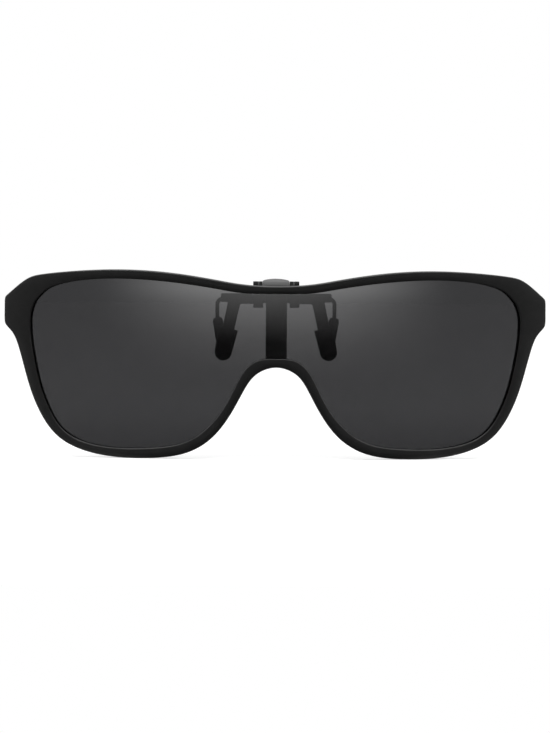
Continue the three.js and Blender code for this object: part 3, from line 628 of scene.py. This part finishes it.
def rear_wire():
    """The wire's middle line, mirrored about the middle: along the sleeve, a quarter bend, down the
    leg, and a slight bend inwards at the knee to its foot."""
    bend = arc(WIRE_BEND, 90, 0, 16) + [WIRE_LEG_X - WIRE_BEND, WIRE_Z - WIRE_BEND]
    inward = np.array([-math.sin(WIRE_LEAN), -math.cos(WIRE_LEAN)])
    knee = np.array([WIRE_LEG_X, WIRE_KNEE_Z])
    run = WIRE_KNEE_BEND / 2
    turn = bend_through(knee + [0, run], knee, knee + inward * run, 12)
    foot = knee + inward * np.linspace(2 * run, WIRE_FOOT, 4)[:, None]
    along = np.linspace(WIRE_CLEAR, WIRE_LEG_X - WIRE_BEND - WIRE_CLEAR, 8)
    middle = np.column_stack([along, np.full(len(along), WIRE_Z)])
    right = np.vstack([middle, bend, turn, foot])
    path = np.vstack([right[::-1] * [-1, 1], right])
    return [shell(tube(front_view(path, WIRE_Y), WIRE_RADIUS, (0, 1, 0)))]


def rubber_sleeve(length, shoulder, end, bore, grip, cut):
    """A moulded sleeve hanging from its mouth, as (across, thickness, down) rings. From inside the
    bore over a half-round lip to the outside, then straight through the shoulder's rows (down, half
    width) to the round end, whose half width is the end's half width times the cosine of the turn. On
    the grip side cut(down) is taken off the face."""
    s = np.linspace(0, np.pi, 12)
    lip = (1 - np.cos(s)) / 2
    body = np.linspace(PAD_LIP, length - end, 150)[1:-1]
    drops, widths = np.array([*shoulder, (length - end, end)]).T
    turn = np.radians(np.linspace(0, PAD_END_TURN, 26))
    half = PAD_HALF_THICKNESS
    down = np.hstack([PAD_BORE, PAD_LIP * (1 - np.sin(s)), body, length - end + end * np.sin(turn)])
    mouth = np.interp(PAD_LIP, drops, widths)
    a = np.hstack([bore[0], bore[0] + (mouth - bore[0]) * lip, np.interp(body, drops, widths),
                   end * np.cos(turn)])
    b = np.hstack([bore[1], bore[1] + (half - bore[1]) * lip, np.full(len(body), half),
                   half * (1 - PAD_END_THINNING + PAD_END_THINNING * np.cos(turn))])
    radius = np.minimum(PAD_ROUND, PAD_ROUND_SHARE * np.minimum(a, b))
    across, thick = rounded_section(a, b, radius)
    onto_face = np.clip((grip * thick / half - GRIP_FROM) / GRIP_RUN, 0, 1)
    outside = (np.arange(len(down)) > len(lip))[:, None]
    thick = thick - grip * outside * onto_face * cut(down)[:, None]
    return np.stack([across, thick, np.broadcast_to(down[:, None], across.shape)], axis=-1)


def ribs(down, first, last):
    """Shallow grip ribs: raised cosines between the first and last place down the face."""
    inside = np.clip((down - first) / RIB_RUN, 0, 1) * np.clip((last - down) / RIB_RUN, 0, 1)
    return inside * RIB_DEPTH * (1 - np.cos(2 * np.pi * (down - first) / RIB_PITCH)) / 2


def front_sleeve(side):
    """The sleeve on a flat leg: ribs on its grip face, and the groove that sets off the toe."""
    groove_at = FRONT_PAD_LENGTH - TOE_LENGTH - TOE_GROOVE / 2

    def cut(down):
        """The groove with leaning walls, and the ribs above it."""
        wall = TOE_GROOVE / 2 + TOE_GROOVE_WALL / 2 - np.abs(down - groove_at)
        groove = np.clip(wall / TOE_GROOVE_WALL, 0, 1)
        return np.maximum(TOE_GROOVE_DEPTH * groove, ribs(down, RIB_START, groove_at - TOE_GROOVE))

    leg_half = LEG_WIDTH / 2 - (LEG_WIDTH - LEG_END_WIDTH) / 2 * FRONT_PAD_DROP / LEG_LENGTH
    bore = (leg_half + PAD_FIT, (JAW_BACK - JAW_FRONT) / 2 + PAD_FIT)
    rings = rubber_sleeve(FRONT_PAD_LENGTH, [(0, FRONT_PAD_TOP / 2)], FRONT_PAD_END / 2, bore, 1, cut)
    rings = rings + [0, FRONT_PAD_Y, FRONT_PAD_DROP]
    return [shell(leaned(rings, side, LEG_X, LEG_TOP, LEG_LEAN))]


def rear_sleeve(side):
    """The slimmer sleeve on a wire leg, ribbed on the grip face."""
    bore = (WIRE_RADIUS + PAD_FIT, WIRE_RADIUS + PAD_FIT)
    half = REAR_PAD_WIDTH / 2
    shoulder = [(0, REAR_PAD_MOUTH / 2), (REAR_PAD_SHOULDER, half)]
    rings = rubber_sleeve(REAR_PAD_LENGTH, shoulder, half, bore, -1,
                          lambda down: ribs(down, RIB_START, REAR_RIB_END))
    rings = rings + [0, WIRE_Y, 0]
    return [shell(leaned(rings, side, WIRE_LEG_X, WIRE_KNEE_Z, -WIRE_LEAN))]


def lever_sheet():
    """The lever's hood and thumb tab: a rounded strip carried over the pin and on along the tab. The
    strip's half width follows the tab's round end, a half circle seen from above."""
    along = arc(1, TAB_SLOPE, TAB_SLOPE, 1)[0]
    hood = arc(HOOD_RADIUS, HOOD_FRONT, 90 + TAB_SLOPE, 22) + [0, PIN_HEIGHT]
    start = hood[-1]
    tip = start + along * TAB_LENGTH + [0, TAB_LIFT]
    tab = bend_through(start, start + along * TAB_KNEE, tip, 400)
    round_from = tip[0] - LEVER_HALF
    straight = np.linspace(start[0], round_from, 8)[1:-1]
    turn = np.radians(np.linspace(0, LEVER_TIP_TURN, 40))
    y = np.hstack([straight, round_from + LEVER_HALF * np.sin(turn)])
    path = np.vstack([hood, np.column_stack([y, np.interp(y, tab[:, 0], tab[:, 1])])])
    half = np.hstack([np.full(len(hood) + len(straight), LEVER_HALF), LEVER_HALF * np.cos(turn)])
    thick = np.full(len(path), LEVER_SHEET / 2)
    across, rise = rounded_section(half, thick, np.minimum(LEVER_EDGE, LEVER_EDGE_SHARE * half))
    slope = unit(np.gradient(path, axis=0))
    normal = np.column_stack([-slope[:, 1], slope[:, 0]])
    place = path[:, None] + rise[..., None] * normal[:, None]
    return shell(side_view(place, across))


def lever_cheek(side):
    """A cheek: an eye on the pin, and a plate from it down to the sleeve."""
    x0, x1 = between(side, LEVER_HALF - CHEEK_WIDTH, LEVER_HALF)
    pin, wire = np.array([0, PIN_HEIGHT]), np.array([WIRE_Y, WIRE_Z])
    down = unit(wire - pin)
    aside = np.array([-down[1], down[0]])
    start, end, half = pin + down * CHEEK_START, wire - down * CHEEK_END, aside * CHEEK_HALF
    outline = rounded_corners([start - half, end - half, end + half, start + half], NECK_EDGE)
    return [ring_on_pin(x0, x1, PIN_HOLE, CHEEK_EYE, NECK_EDGE),
            plate(outline, x0 + NECK_INSET, x1 - NECK_INSET, NECK_EDGE, side_view)]


def thumb_lever():
    """The lever: hood and tab, two cheeks, and the sleeve that is closed round the wire."""
    section = soft_rim(-LEVER_HALF, LEVER_HALF, SLEEVE_BORE, SLEEVE_RADIUS, SLEEVE_EDGE)
    sleeve = shell(turned(section, (WIRE_Y, WIRE_Z)), joined=True)
    return [lever_sheet(), *both_sides(lever_cheek), sleeve]


def pinch_spring():
    """The torsion spring: a leg, a tangent run, a helix round the pin with even pitch, a tangent run
    and the other leg, with soft bends at both knees."""
    front = np.array(FRONT_KNEE) - [0, PIN_HEIGHT]
    rear = np.array(REAR_KNEE) - [0, PIN_HEIGHT]
    start = math.atan2(front[1], front[0]) - math.acos(COIL_RADIUS / np.hypot(*front))
    stop = math.atan2(rear[1], rear[0]) + math.acos(COIL_RADIUS / np.hypot(*rear))
    sweep = (start - stop) % (2 * math.pi) + 2 * math.pi * SPRING_TURNS
    share = np.linspace(0, 1, 220)
    angle = start - sweep * share
    coil = COIL_RADIUS * np.column_stack([np.cos(angle), np.sin(angle)])
    down = np.array([0, -1.0])

    def leg(knee, touch):
        """A leg up to its knee, the bend there, and the run to where it touches the coil."""
        way = unit(touch - knee)
        bend = bend_through(knee + down * SPRING_BEND, knee, knee + way * SPRING_BEND, 10)
        straight = knee + way * np.linspace(SPRING_BEND, np.linalg.norm(touch - knee), 9)[1:-1, None]
        foot = knee + down * SPRING_LEG
        middle = knee + down * SPRING_LEG * SPRING_LEG_MIDDLE
        return np.vstack([foot, middle, bend, straight])

    first, last = leg(front, coil[0]), leg(rear, coil[-1])[::-1]
    flat = np.vstack([first, coil, last]) + [0, PIN_HEIGHT]
    x = np.hstack([np.full(len(first), -SPRING_REACH), SPRING_REACH * (2 * share - 1),
                   np.full(len(last), SPRING_REACH)])
    return [shell(tube(np.column_stack([x, flat]), SPRING_WIRE, (1, 0, 0), sides=12))]


def add(tree, kind, settings=None, **inputs):
    """A node with its settings, and its inputs given as values or as sockets to link from."""
    made = tree.nodes.new("ShaderNode" + kind)
    for key, value in (settings or {}).items():
        setattr(made, key, value)
    for key, value in inputs.items():
        numbered = key.startswith("at") and key[2:].isdigit()
        socket = made.inputs[int(key[2:]) if numbered else key.replace("_", " ")]
        if isinstance(value, bpy.types.NodeSocket):
            tree.links.new(value, socket)
        else:
            socket.default_value = value
    return made


def empty_tree(owner):
    """The owner's node tree with nothing in it."""
    owner.use_nodes = True
    owner.node_tree.nodes.clear()
    return owner.node_tree


def maths(tree, operation, a, b=0.0):
    """The result of one operation on two values."""
    return add(tree, "Math", {"operation": operation}, at0=a, at1=b).outputs[0]


def times(tree, a, b):
    """The product of two values."""
    return maths(tree, "MULTIPLY", a, b)


def ranged(tree, value, low, high, to_low=0.0, to_high=1.0, smooth=False):
    """The value's range from low to high mapped onto another."""
    kind = {"interpolation_type": "SMOOTHSTEP" if smooth else "LINEAR"}
    return add(tree, "MapRange", kind, Value=value, From_Min=low, From_Max=high,
               To_Min=to_low, To_Max=to_high).outputs[0]


def mixed(tree, factor, first, second):
    """Two colours mixed by a factor."""
    return add(tree, "Mix", {"data_type": "RGBA"}, at0=factor, at6=first, at7=second).outputs[2]


def grey(level):
    """A neutral colour of that linear level."""
    return (level, level, level, 1)


def effect(name, outputs, *more):
    """An empty shader group that takes a Place, a Scale and more values: its tree and its end nodes."""
    tree = bpy.data.node_groups.new(name, "ShaderNodeTree")
    tree.interface.new_socket(name="Place", in_out="INPUT", socket_type="NodeSocketVector")
    for way, sockets in (("INPUT", ("Scale", *more)), ("OUTPUT", outputs)):
        for socket in sockets:
            tree.interface.new_socket(name=socket, in_out=way, socket_type="NodeSocketFloat")
    return tree, tree.nodes.new("NodeGroupInput").outputs, tree.nodes.new("NodeGroupOutput").inputs


def surface_grain():
    """Fine moulded or rolled grain: Height is small even noise, Tone a broader soft variation."""
    tree, given, result = effect("surface_grain", ["Height", "Tone"])
    fine = add(tree, "TexNoise", Vector=given["Place"], Scale=given["Scale"], Detail=4.0, Roughness=0.6)
    broad = times(tree, given["Scale"], 0.06)
    soft = add(tree, "TexNoise", Vector=given["Place"], Scale=broad, Detail=3.0, Roughness=0.55)
    tree.links.new(fine.outputs[0], result["Height"])
    tree.links.new(ranged(tree, soft.outputs[0], 0.3, 0.7, smooth=True), result["Tone"])
    return tree


def edge_wear_and_sheen():
    """Rubbed edges with a painted highlight on them: where the surface turns outwards sharply, broken up by
    noise.
    """
    tree, given, result = effect("edge_wear_and_sheen", ["Mask"], "Onset")
    bend = add(tree, "NewGeometry").outputs["Pointiness"]
    full = maths(tree, "ADD", given["Onset"], 0.03)
    edge = ranged(tree, bend, given["Onset"], full, smooth=True)
    rub_and_sheen = add(tree, "TexNoise", Vector=given["Place"], Scale=given["Scale"], Detail=5.0, Roughness=0.65)
    patchy = ranged(tree, rub_and_sheen.outputs[0], 0.38, 0.66, smooth=True)
    tree.links.new(times(tree, edge, patchy), result["Mask"])
    return tree


def handling_marks():
    """Faint smears from fingers: stretched, bent noise over a broad one."""
    tree, given, result = effect("handling_marks", ["Smear"])
    stretch = add(tree, "Mapping", Vector=given["Place"], Rotation=(0.0, 0.5, 0.0), Scale=(1.0, 1.0, 2.6))
    streak = add(tree, "TexNoise", Vector=stretch.outputs[0], Scale=given["Scale"], Detail=6.0,
                 Roughness=0.6, Distortion=0.8)
    wide = times(tree, given["Scale"], 0.3)
    broad = add(tree, "TexNoise", Vector=given["Place"], Scale=wide, Detail=2.0)
    both = times(tree, streak.outputs[0], broad.outputs[0])
    tree.links.new(ranged(tree, both, 0.17, 0.38, smooth=True), result["Smear"])
    return tree


def drawn_lines():
    """Brushing or drawing lines along X: noise squeezed across that direction."""
    tree, given, result = effect("drawn_lines", ["Height", "Tone"])
    squeeze = add(tree, "Mapping", Vector=given["Place"], Scale=(0.05, 1.0, 1.0))
    fine = add(tree, "TexNoise", Vector=squeeze.outputs[0], Scale=given["Scale"], Detail=5.0, Roughness=0.7)
    tree.links.new(fine.outputs[0], result["Height"])
    tree.links.new(ranged(tree, fine.outputs[0], 0.32, 0.68), result["Tone"])
    return tree


GRAIN, WEAR_AND_SHEEN, MARKS, LINES = surface_grain(), edge_wear_and_sheen(), handling_marks(), drawn_lines()


def placed(tree, group, place, **values):
    """A shared effect in a material, with its own values."""
    made = tree.nodes.new("ShaderNodeGroup")
    made.node_tree = group
    tree.links.new(place, made.inputs["Place"])
    for key, value in values.items():
        made.inputs[key].default_value = value
    return made.outputs


def new_finish(name):
    """A material with only its Principled shader: its tree, the shader and the Object coordinates."""
    material = bpy.data.materials.new(name)
    tree = empty_tree(material)
    shader = add(tree, "BsdfPrincipled")
    end = add(tree, "OutputMaterial", Surface=shader.outputs[0])
    end.is_active_output = True
    return material, tree, shader, add(tree, "TexCoord").outputs["Object"]


def bumped(tree, shader, height, depth):
    """The height as relief of that depth in millimetres."""
    bump = add(tree, "Bump", Strength=1.0, Distance=depth * MM, Height=height)
    tree.links.new(bump.outputs[0], shader.inputs["Normal"])


# Coatings
# Edge wear and painted edge highlight: the scale of its noise
WEAR_AND_SHEEN_SCALE = 0.25
SMEAR_SCALE = 140.0
SMEAR_SHARE = 0.6
GLOSS_SPAN = (0.15, 0.85)
RUBBED_GLOSS = 0.15
# Painted top light on upward faces: the slope over which it comes in, and how patchy it is
TOP_LIGHT_SLOPE = (0.3, 0.8)
TOP_LIGHT_PATCHY = 0.68


def coated(name, level, wear_and_sheen_level, rough, grain, onset, metal=0.0, depth=0.006, specular=0.5, lines=False,
           painted_top_light=None):
    """A dark coating or moulding: tone and gloss vary with its grain and with handling, and the
    edges are lighter at a level of their own, partly rubbed wear and partly a painted highlight. Level
    and rough are (low, high). Upward faces may be paler by a painted light from above, of a level of its
    own."""
    material, tree, shader, place = new_finish(name)
    texture = placed(tree, LINES if lines else GRAIN, place, Scale=grain)
    # Edge mask: rubbed wear and a painted highlight along convex edges
    wear_and_sheen = placed(tree, WEAR_AND_SHEEN, place, Scale=grain * WEAR_AND_SHEEN_SCALE, Onset=onset)["Mask"]
    smear = placed(tree, MARKS, place, Scale=SMEAR_SCALE)["Smear"]
    colour = mixed(tree, texture["Tone"], grey(level[0]), grey(level[1]))
    # Painted top light: upward faces are paler, as if lit from above
    if painted_top_light:
        up = add(tree, "SeparateXYZ", Vector=add(tree, "TexCoord").outputs["Normal"]).outputs["Z"]
        lit_from_above = times(tree, ranged(tree, up, *TOP_LIGHT_SLOPE, smooth=True),
                        ranged(tree, texture["Tone"], 0.0, 1.0, TOP_LIGHT_PATCHY, 1.0))
        colour = mixed(tree, lit_from_above, colour, grey(painted_top_light))
    # Edges lightened: partly wear, partly painted highlight
    tree.links.new(mixed(tree, wear_and_sheen, colour, grey(wear_and_sheen_level)), shader.inputs["Base Color"])
    gloss = maths(tree, "ADD", times(tree, smear, SMEAR_SHARE),
                  times(tree, texture["Height"], 1 - SMEAR_SHARE))
    gloss = ranged(tree, gloss, *GLOSS_SPAN, *rough)
    rubbed = maths(tree, "SUBTRACT", gloss, times(tree, wear_and_sheen, RUBBED_GLOSS))
    tree.links.new(rubbed, shader.inputs["Roughness"])
    shader.inputs["Metallic"].default_value = metal
    shader.inputs["Specular IOR Level"].default_value = specular
    bumped(tree, shader, texture["Height"], depth)
    return material


# Lens: tints, with painted shade at the foot and painted reflection near the brow, and the spans over which
# they come in
LENS_TONES = ((0.0407, 0.0407, 0.0424, 1), (0.0432, 0.0432, 0.0447, 1))
FOOT_PAINTED_SHADE, FOOT_Z = (0.033, 0.033, 0.0344, 1), (-27, -14)
UPPER_PAINTED_REFLECTION, UPPER_Z = (0.081, 0.081, 0.0825, 1), (-10, 13)
BROW_PAINTED_REFLECTION, BROW_Z = (0.12, 0.12, 0.1215, 1), (11, 16.5)
MIDDLE_X = (10, 48)
LENS_ROUGHNESS = (0.015, 0.04)


def tinted_lens():
    """The lens: dark grey glass-clear sheet with faint smears in its gloss. Its colour is darker at the
    foot, a painted shade, and paler towards the middle of the brow and palest right under it, a painted
    reflection of soft light."""
    material, tree, shader, place = new_finish("tinted_lens")
    smear = placed(tree, MARKS, place, Scale=60.0)["Smear"]
    tone = placed(tree, GRAIN, place, Scale=400.0)["Tone"]
    way = add(tree, "SeparateXYZ", Vector=place).outputs

    def fade(value, span, first, last):
        """A smooth step from the first to the last share over a span in millimetres."""
        return ranged(tree, value, span[0] * MM, span[1] * MM, first, last, smooth=True)

    across = fade(maths(tree, "ABSOLUTE", way["X"]), MIDDLE_X, 1.0, 0.0)
    # Painted shade: the colour darkens towards the foot of the lens
    tint_and_painted_light = mixed(tree, fade(way["Z"], FOOT_Z, 1.0, 0.0), mixed(tree, tone, *LENS_TONES), FOOT_PAINTED_SHADE)
    # Painted reflection: the colour pales towards the middle of the brow and most right under it
    for span, painted_reflection in ((UPPER_Z, UPPER_PAINTED_REFLECTION), (BROW_Z, BROW_PAINTED_REFLECTION)):
        share = times(tree, across, fade(way["Z"], span, 0.0, 1.0))
        tint_and_painted_light = mixed(tree, share, tint_and_painted_light, painted_reflection)
    tree.links.new(tint_and_painted_light, shader.inputs["Base Color"])
    tree.links.new(ranged(tree, smear, 0.0, 1.0, *LENS_ROUGHNESS), shader.inputs["Roughness"])
    shader.inputs["Transmission Weight"].default_value = 1.0
    shader.inputs["IOR"].default_value = 1.5
    return material


FINISH = {
    # The moulding's upward faces get a painted top light
    "moulded_front": coated(
        "satin_moulding", level=(0.0046, 0.0064), wear_and_sheen_level=0.009, rough=(0.5, 0.62), grain=5200.0, onset=0.57,
        specular=0.3, painted_top_light=0.072),
    "black_steel": coated(
        "black_coated_steel", level=(0.006, 0.0085), wear_and_sheen_level=0.03, rough=(0.48, 0.62), grain=4200.0,
        onset=0.57, specular=0.1),
    "grey_steel": coated(
        "grey_coated_steel", level=(0.084, 0.1), wear_and_sheen_level=0.15, rough=(0.5, 0.62), grain=3600.0, onset=0.56,
        specular=0.22, lines=True, depth=0.004),
    "spring_steel": coated(
        "drawn_spring_steel", level=(0.4, 0.5), wear_and_sheen_level=0.6, rough=(0.22, 0.34), grain=4200.0, onset=0.6,
        metal=1.0, lines=True, depth=0.003),
    "nylon": coated(
        "plain_nylon", level=(0.015, 0.022), wear_and_sheen_level=0.04, rough=(0.45, 0.6), grain=3000.0, onset=0.58),
    "pad_rubber": coated(
        "soft_black_rubber", level=(0.005, 0.0075), wear_and_sheen_level=0.012, rough=(0.72, 0.88), grain=2600.0,
        onset=0.57, depth=0.012, specular=0.35),
    "tinted_lens": tinted_lens(),
}

make_piece("moulded_front", [moulded_rim(), centre_post()], "moulded_front", "front_frame", body="front")
make_piece("shield_lens", [lens_sheet()], "tinted_lens", "lens", body="front")
make_piece("bracket_with_ears", hinge_bracket(), "black_steel", "hinge_bracket", body="front")
make_piece("turned_pin", hinge_pin(), "black_steel", "hinge_pin", body="clip")
retaining_ring = ring_on_pin(PIN_HEAD_X - GAP_FILL, PIN_END_X, PIN_RADIUS + RING_FIT, PIN_HEAD_RADIUS,
                             EAR_EDGE)
make_piece("retaining_ring", [retaining_ring], "black_steel", "pin_ring", body="clip")
make_piece("stamped_jaw", front_jaw(), "black_steel", "front_jaw", body="clip")
make_piece("hooded_lever", thumb_lever(), "grey_steel", "thumb_lever", body="rear_jaw")
make_piece("bent_wire", rear_wire(), "black_steel", "rear_jaw_wire", body="rear_jaw")
for hand, side in HANDS:
    span = between(side, WASHER_X - GAP_FILL, WASHER_X + WASHER_THICKNESS + GAP_FILL)
    washer = ring_on_pin(*span, PIN_HOLE, WASHER_RADIUS, EAR_EDGE)
    make_piece("pan_screw_" + hand, pan_screw(side), "black_steel", "bracket_screw_" + hand, body="front")
    make_piece("washer_" + hand, [washer], "nylon", "friction_washer_" + hand, body="clip")
    make_piece("front_sleeve_" + hand, front_sleeve(side), "pad_rubber", "front_pad_" + hand, body="clip")
    make_piece("rear_sleeve_" + hand, rear_sleeve(side), "pad_rubber", "rear_pad_" + hand, body="rear_jaw")
spring = make_piece("torsion_spring", pinch_spring(), "spring_steel", "pinch_spring")
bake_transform(spring)

# Floor: a white sheet under the rim and behind it, which keeps the object's shadow, and an apron in
# front of it for the shadow of the flipped front
APRON_FRONT, FLOOR_FRONT, FLOOR_BACK, FLOOR_SIDE = -300.0, -5.0, 900.0, 700.0
FLOOR_Z = -29.52
FLOOR_COLUMNS, FLOOR_ROWS = 15, 13
# Its own light at the object and far off, and more for the camera close behind and in front
FLOOR_GLOW = (0.24, 0.5)
BEHIND_GLOW, BEHIND_REACH = 0.24, 150.0
FRONT_GLOW, FRONT_REACH = 0.5, -60.0


def floor_sheet(name, front, back):
    """A flat sheet on a grid of two parameters, level with the foot of the rim."""
    x, y = np.meshgrid(np.linspace(-FLOOR_SIDE, FLOOR_SIDE, FLOOR_COLUMNS),
                       np.linspace(front, back, FLOOR_ROWS))
    points = np.column_stack([x.ravel(), y.ravel(), np.full(x.size, FLOOR_Z)]) * MM
    k = (np.arange(FLOOR_ROWS - 1)[:, None] * FLOOR_COLUMNS + np.arange(FLOOR_COLUMNS - 1)).ravel()
    quads = np.column_stack([k, k + 1, k + FLOOR_COLUMNS + 1, k + FLOOR_COLUMNS])
    mesh = bpy.data.meshes.new(name)
    mesh.from_pydata(points.tolist(), [], quads.tolist())
    mesh.update()
    mesh.materials.append(WHITE_FLOOR)
    sheet = scene_object(name, mesh)
    return sheet


def white_floor():
    """White paper: lit by the lamps, with a little light of its own for the rays that show it, more
    of it farther off, where the lamps fall off."""
    material = bpy.data.materials.new("white_floor")
    tree = empty_tree(material)
    path = add(tree, "LightPath").outputs
    seen = maths(tree, "MAXIMUM", path["Is Glossy Ray"], path["Is Transmission Ray"])
    shown = maths(tree, "MAXIMUM", path["Is Camera Ray"], seen)
    paper = add(tree, "BsdfDiffuse", Color=grey(0.8))
    place = add(tree, "TexCoord").outputs["Object"]
    back = add(tree, "SeparateXYZ", Vector=place).outputs["Y"]
    far = add(tree, "VectorMath", {"operation": "LENGTH"}, at0=place).outputs["Value"]
    share = ranged(tree, far, 0.0, FLOOR_BACK * MM, *FLOOR_GLOW)
    near = maths(tree, "ADD", ranged(tree, back, 0.0, BEHIND_REACH * MM, BEHIND_GLOW, 0.0),
                 ranged(tree, back, FRONT_REACH * MM, FLOOR_FRONT * MM, FRONT_GLOW, 0.0))
    near = times(tree, path["Is Camera Ray"], near)
    share = maths(tree, "ADD", times(tree, shown, share), near)
    glow = add(tree, "Emission", Color=grey(1.0), Strength=share)
    both = add(tree, "AddShader", at0=paper.outputs[0], at1=glow.outputs[0])
    add(tree, "OutputMaterial", Surface=both.outputs[0])
    return material


WHITE_FLOOR = white_floor()
floor_sheet("studio_floor", FLOOR_FRONT, FLOOR_BACK)
apron = floor_sheet("floor_apron", APRON_FRONT, FLOOR_FRONT)
apron.visible_diffuse = apron.visible_glossy = apron.visible_transmission = apron.visible_shadow = False

# World: white where it is seen directly or through the lens, and behind the object in reflections;
# a dim studio in front of it, with one wide soft window
AMBIENT = 0.45
STUDIO_DIM = 0.03
WINDOW_LEVEL = 2.45
# Spans over which the back brightens and the window fades aside, below and above
BEHIND_Y = (-0.1, 0.35)
WINDOW_X, WINDOW_LOW, WINDOW_HIGH = (0.0, 0.5), (-0.0565, -0.0355), (0.05, 0.25)


def studio_world():
    """The world's light by direction: x to the right, y away from the front, z up."""
    world = bpy.data.worlds.new("white_studio")
    tree = empty_tree(world)
    path = add(tree, "LightPath").outputs
    way = add(tree, "SeparateXYZ", Vector=add(tree, "TexCoord").outputs["Generated"]).outputs
    shown = maths(tree, "MAXIMUM", path["Is Camera Ray"], path["Is Transmission Ray"])
    behind = ranged(tree, way["Y"], *BEHIND_Y, STUDIO_DIM, 1.0, smooth=True)
    aside = ranged(tree, maths(tree, "ABSOLUTE", way["X"]), *WINDOW_X, 1.0, 0.0, smooth=True)
    lower = ranged(tree, way["Z"], *WINDOW_LOW, smooth=True)
    upper = ranged(tree, way["Z"], *WINDOW_HIGH, 1.0, 0.0, smooth=True)
    ahead = maths(tree, "LESS_THAN", way["Y"], 0.0)
    window = times(tree, times(tree, aside, ahead), times(tree, lower, upper))
    window = times(tree, window, WINDOW_LEVEL)
    level = add(tree, "Mix", {"data_type": "FLOAT"}, at0=path["Is Glossy Ray"], at2=AMBIENT,
                at3=behind).outputs[0]
    level = maths(tree, "ADD", level, window)
    level = add(tree, "Mix", {"data_type": "FLOAT"}, at0=shown, at2=level, at3=1.0).outputs[0]
    back = add(tree, "Background", Color=(1, 1, 1, 1), Strength=level)
    add(tree, "OutputWorld", Surface=back.outputs[0])
    bpy.context.scene.world = world


def soft_lamp(name, place, size, radiance):
    """A flat lamp turned to the origin. Its power is pi times its area times its radiance."""
    light = bpy.data.lights.new(name, "AREA")
    light.shape = "RECTANGLE"
    light.size, light.size_y = size[0] * MM, size[1] * MM
    light.energy = math.pi * light.size * light.size_y * radiance
    lamp = scene_object(name, light)
    lamp.location = Vector(place) * MM
    lamp.rotation_euler = (Vector((0, 0, 0)) - Vector(place)).to_track_quat("-Z", "Y").to_euler()
    lamp.visible_camera = False


studio_world()
soft_lamp("overhead", place=(0, -100, 900), size=(1100, 900), radiance=2.0)
for hand, side in HANDS:
    soft_lamp(hand + "_side", place=(side * 900, -350, 250), size=(600, 700), radiance=2.8)

# Camera: a long lens a little above and to the left of the middle
VIEW_DISTANCE = 1100.0
VIEW_WIDTH = 145.67
VIEW_AIM = (-0.37, -8.0, -4.63)
VIEW_ELEVATION = math.radians(3.5)
VIEW_YAW = math.radians(1.5)
VIEW_ROLL = math.radians(0.42)


def photo_camera():
    """The camera on a sphere round the aim, turned to it and then rolled about its own view line."""
    data = bpy.data.cameras.new("photo_camera")
    data.sensor_fit = "HORIZONTAL"
    data.lens = data.sensor_width * VIEW_DISTANCE / VIEW_WIDTH
    data.clip_start, data.clip_end = 0.01, 20
    level = math.cos(VIEW_ELEVATION)
    out = Vector((-math.sin(VIEW_YAW) * level, -math.cos(VIEW_YAW) * level, math.sin(VIEW_ELEVATION)))
    camera = scene_object("photo_camera", data)
    place = Matrix.Translation((Vector(VIEW_AIM) + out * VIEW_DISTANCE) * MM)
    turn = (-out).to_track_quat("-Z", "Y").to_matrix().to_4x4()
    camera.matrix_world = place @ turn @ Matrix.Rotation(VIEW_ROLL, 4, "Z")
    bpy.context.scene.camera = camera


photo_camera()
bpy.context.scene.view_settings.view_transform = "Standard"
